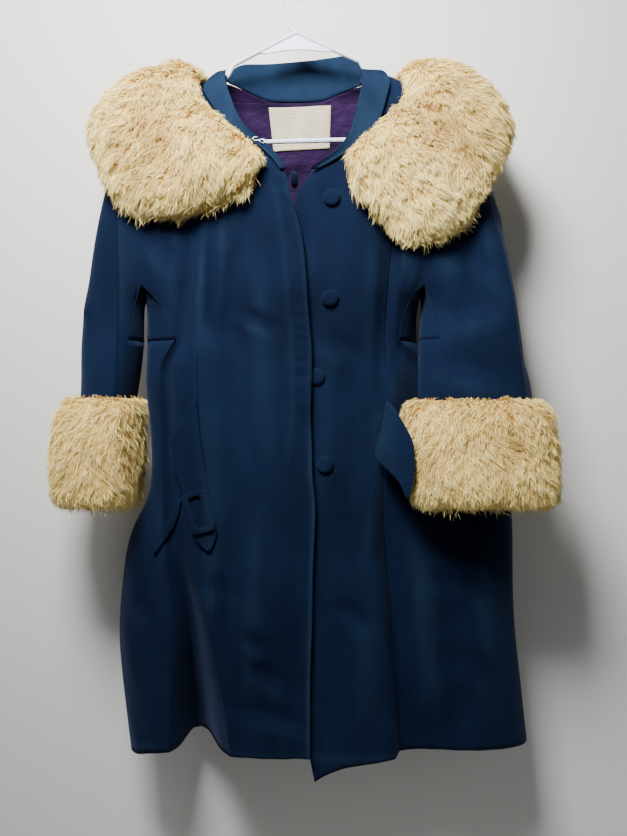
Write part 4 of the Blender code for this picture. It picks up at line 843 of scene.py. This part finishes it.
@dataclass
class HookAndEye:
    """The small wire hook and eye at the neck, laid on the facing beside the right edge."""

    wire: float = 0.0006
    loop: float = 0.0042
    places: tuple = ((-0.046, -0.248), (-0.036, -0.252))
    steps: int = 24

    def build(self, steel: bpy.types.Material, ground: list[bpy.types.Object]) -> None:
        """Bends two wire loops and lays them on the cloth.

        Args:
            steel: the wire's finish.
            ground: what they are sewn to.
        """
        trees = [BVHTree.FromPolygons([v.co for v in o.data.vertices],
                                      [list(p.vertices) for p in o.data.polygons])
                 for o in ground]
        for number, (x, z) in enumerate(self.places, 1):
            hits = [tree.ray_cast(Vector((x, -0.4, z)), Vector((0, 1, 0)))[0] for tree in trees]
            depth = min(hit.y for hit in hits if hit is not None)
            turn = np.linspace(0, 2 * math.pi, self.steps + 1)[:-1]
            path = np.stack([x + self.loop * np.cos(turn) * (1 + 0.25 * np.cos(2 * turn)),
                             np.full(self.steps, depth - self.wire * 1.4),
                             z + 0.62 * self.loop * np.sin(turn)], 1)
            piece = closed_wire(f"hook_and_eye_{number}", path, self.wire)
            piece.data.materials.append(steel)
            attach(piece, "root")
            LOG.info("%s at %.3f, %.3f", piece.name, x, z)


def closed_wire(name: str, path: np.ndarray, radius: float) -> bpy.types.Object:
    """A ring of wire: a circle of six sides carried round a closed path in an upright plane.

    Args:
        name: the piece's name.
        path: the ring's middle line.
        radius: the wire's radius.

    Returns:
        The piece.
    """
    count, sides = len(path), 6
    along = np.roll(path, -1, 0) - np.roll(path, 1, 0)
    along /= np.linalg.norm(along, axis=1, keepdims=True)
    out = np.cross(along, (0.0, 1.0, 0.0))
    turn = np.linspace(0, 2 * math.pi, sides, endpoint=False)
    ring = (out[:, None] * np.cos(turn)[None, :, None]
            + np.array([0.0, 1.0, 0.0]) * np.sin(turn)[None, :, None]) * radius
    points = (path[:, None] + ring).reshape(-1, 3)
    i, j = np.meshgrid(np.arange(count), np.arange(sides), indexing="ij")
    ahead, beside = (i + 1) % count, (j + 1) % sides
    faces = np.stack([i * sides + j, i * sides + beside, ahead * sides + beside,
                      ahead * sides + j], -1).reshape(-1, 4)
    piece = mesh_object(name, points, faces)
    sheet = bmesh.new()
    sheet.from_mesh(piece.data)
    bmesh.ops.recalc_face_normals(sheet, faces=sheet.faces)
    sheet.to_mesh(piece.data)
    sheet.free()
    piece.data.shade_smooth()
    return piece


@dataclass
class Coat:
    """The whole coat: panels, small cloth pieces, lining, label and fur."""

    panels: tuple = (
        ClothPanel("front_right_centre", 3), ClothPanel("front_right_side_and_sleeve"),
        ClothPanel("front_left_centre", 3), ClothPanel("front_left_side_and_sleeve"),
        ClothPanel("back_and_sleeves"), ClothPanel("gusset_right", 2, False),
        ClothPanel("gusset_left", 2, False),
        ClothPanel("collar_stand", 2, False), ClothPanel("neck_facing_right", 2, False),
        ClothPanel("neck_facing_left", 2, False), ClothPanel("belt_tab_right", 2, False),
        ClothPanel("belt_tab_left", 2, False), ClothPanel("buckle_right", 1, False),
        ClothPanel("pocket_welt_right", 1, False), ClothPanel("pocket_welt_left", 1, False),
        ClothPanel("button_1", 1, False), ClothPanel("button_2", 1, False),
        ClothPanel("button_3", 1, False), ClothPanel("button_4", 1, False),
        ClothPanel("button_5", 1, False))
    furs: tuple = (
        FurTrim("collar_fur", 87000, 3, 0.030, 0.40, 3,
                ((-0.190, -0.06, -0.250, 0.045, 1.0), (-0.130, -0.07, -0.300, 0.032, 0.7),
                 (0.215, -0.07, -0.245, 0.052, 1.1), (0.235, -0.05, -0.170, 0.034, 0.6))),
        FurTrim("cuff_right", 17000, 1, 0.025, 0.40, 7,
                ((-0.250, -0.10, -0.700, 0.035, 0.5),)),
        FurTrim("cuff_left", 18500, 1, 0.025, 0.40, 9,
                ((0.182, -0.12, -0.700, 0.022, 0.95), (0.300, -0.13, -0.665, 0.030, 0.8),
                 (0.240, -0.13, -0.660, 0.018, 0.4))))

    def build(self, nodes: dict) -> None:
        """Makes every piece of the coat.

        Args:
            nodes: the CAD nodes by name.
        """
        cloth, lining, fur = Velveteen().material(), Satin().material(), Fur().material()
        made = {panel.node: panel.build(nodes, cloth, lining) for panel in self.panels}
        for node, finish in (("lining_back", lining), ("label", LabelWeave().material())):
            made[node] = self.inner(nodes[node], node, finish)
        for trim in self.furs:
            trim.build(nodes, fur)
        HookAndEye().build(Steel().material(), [made["neck_facing_right"],
                                                made["front_right_centre"]])

    @staticmethod
    def inner(node: bpy.types.Object, name: str, finish: bpy.types.Material) -> bpy.types.Object:
        """A piece inside the neck, its satin pulled into soft wrinkles.

        Args:
            node: its CAD node.
            name: the node's name.
            finish: its finish.

        Returns:
            The piece.
        """
        piece = refined(node, name + "_cloth", 3)
        mesh = piece.data
        mesh.materials.append(finish)
        place = corners(mesh)
        ripple = 0.0004 * waves(place * (1, 0.1, 0.4), 0.022, 21)
        place[:, 1] += ripple + unevenness(place)
        mesh.vertices.foreach_set("co", place.ravel())
        mesh.shade_smooth()
        mesh.set_sharp_from_angle(angle=math.radians(50))
        mesh.update()
        return register(piece, name)


@dataclass
class Hanger:
    """The white plastic hanger, kept as its solid and given its finish."""

    node: str = "hanger"

    def build(self, nodes: dict) -> None:
        """Gives the hanger its plastic."""
        nodes[self.node].data.materials.clear()
        nodes[self.node].data.materials.append(Plastic().material())
        LOG.info("hanger dressed")


@dataclass
class Studio:
    """The pale wall and floor, the soft light and the camera."""

    wall_y: float = 0.118
    floor_z: float = -1.62
    camera_at: tuple = (0.0345, -1.31, -0.64)
    lens: float = 38.45

    def build(self) -> None:
        """Makes the backdrop, lights and camera."""
        self.backdrop()
        self.light("key", (-0.32, -1.00, 0.55), (0.0, 0.0, -0.12), 0.50, 23.5, 100.0)
        self.light("fill", (1.7, -1.9, -0.1), (0.05, 0.0, -0.6), 1.6, 3.0)
        self.light("top", (-0.9, -0.8, 0.9), (0.0, 0.05, -0.3), 0.8, 10.0)
        world = bpy.data.worlds.new("studio")
        world.use_nodes = True
        world.node_tree.nodes["Background"].inputs[0].default_value = (0.93, 0.95, 1.0, 1.0)
        world.node_tree.nodes["Background"].inputs[1].default_value = 0.075
        bpy.context.scene.world = world
        self.camera()

    def backdrop(self) -> None:
        """A wall behind the coat that curves into the floor: a profile carried along x."""
        bend, radius = np.linspace(0, math.pi / 2, 9), 0.25
        profile = [(self.wall_y, 1.3)]
        profile += [(self.wall_y - radius + radius * math.cos(t),
                     self.floor_z + radius - radius * math.sin(t)) for t in bend]
        profile += [(-4.5, self.floor_z)]
        profile = np.array(profile)
        points = np.array([(x, y, z) for x in (-3.5, 3.5) for y, z in profile])
        count = len(profile)
        faces = [(k, k + 1, k + 1 + count, k + count) for k in range(count - 1)]
        wall = mesh_object("backdrop", points, faces)
        wall.data.shade_smooth()
        wall.data.materials.append(Paint("wall_paint", (0.72, 0.72, 0.70, 1.0)).material())

    @staticmethod
    def light(name: str, place: tuple, target: tuple, size: float, power: float,
              spread: float = 180.0) -> None:
        """An area light.

        Args:
            name: the light's name.
            place: where it stands.
            target: what it looks at.
            size: its width.
            power: its power in watts.
            spread: how wide it throws its light, in degrees.
        """
        lamp = bpy.data.lights.new(name, "AREA")
        lamp.size, lamp.energy, lamp.spread = size, power, math.radians(spread)
        holder = bpy.data.objects.new(name, lamp)
        holder.location = place
        way = Vector(target) - Vector(place)
        holder.rotation_euler = way.to_track_quat("-Z", "Y").to_euler()
        bpy.context.scene.collection.objects.link(holder)

    def camera(self) -> None:
        """The camera, level and square to the wall."""
        eye = bpy.data.cameras.new("camera")
        eye.lens, eye.sensor_width, eye.clip_start = self.lens, 36.0, 0.05
        holder = bpy.data.objects.new("camera", eye)
        holder.location = self.camera_at
        holder.rotation_euler = (math.radians(90), 0, 0)
        bpy.context.scene.collection.objects.link(holder)
        bpy.context.scene.camera = holder


def main() -> None:
    """Loads the coat's solids and dresses them."""
    logging.basicConfig(level=logging.INFO, format="%(message)s")
    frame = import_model()
    Studio().build()
    Coat().build(frame["nodes"])
    Hanger().build(frame["nodes"])


if __name__ == "__main__":
    main()
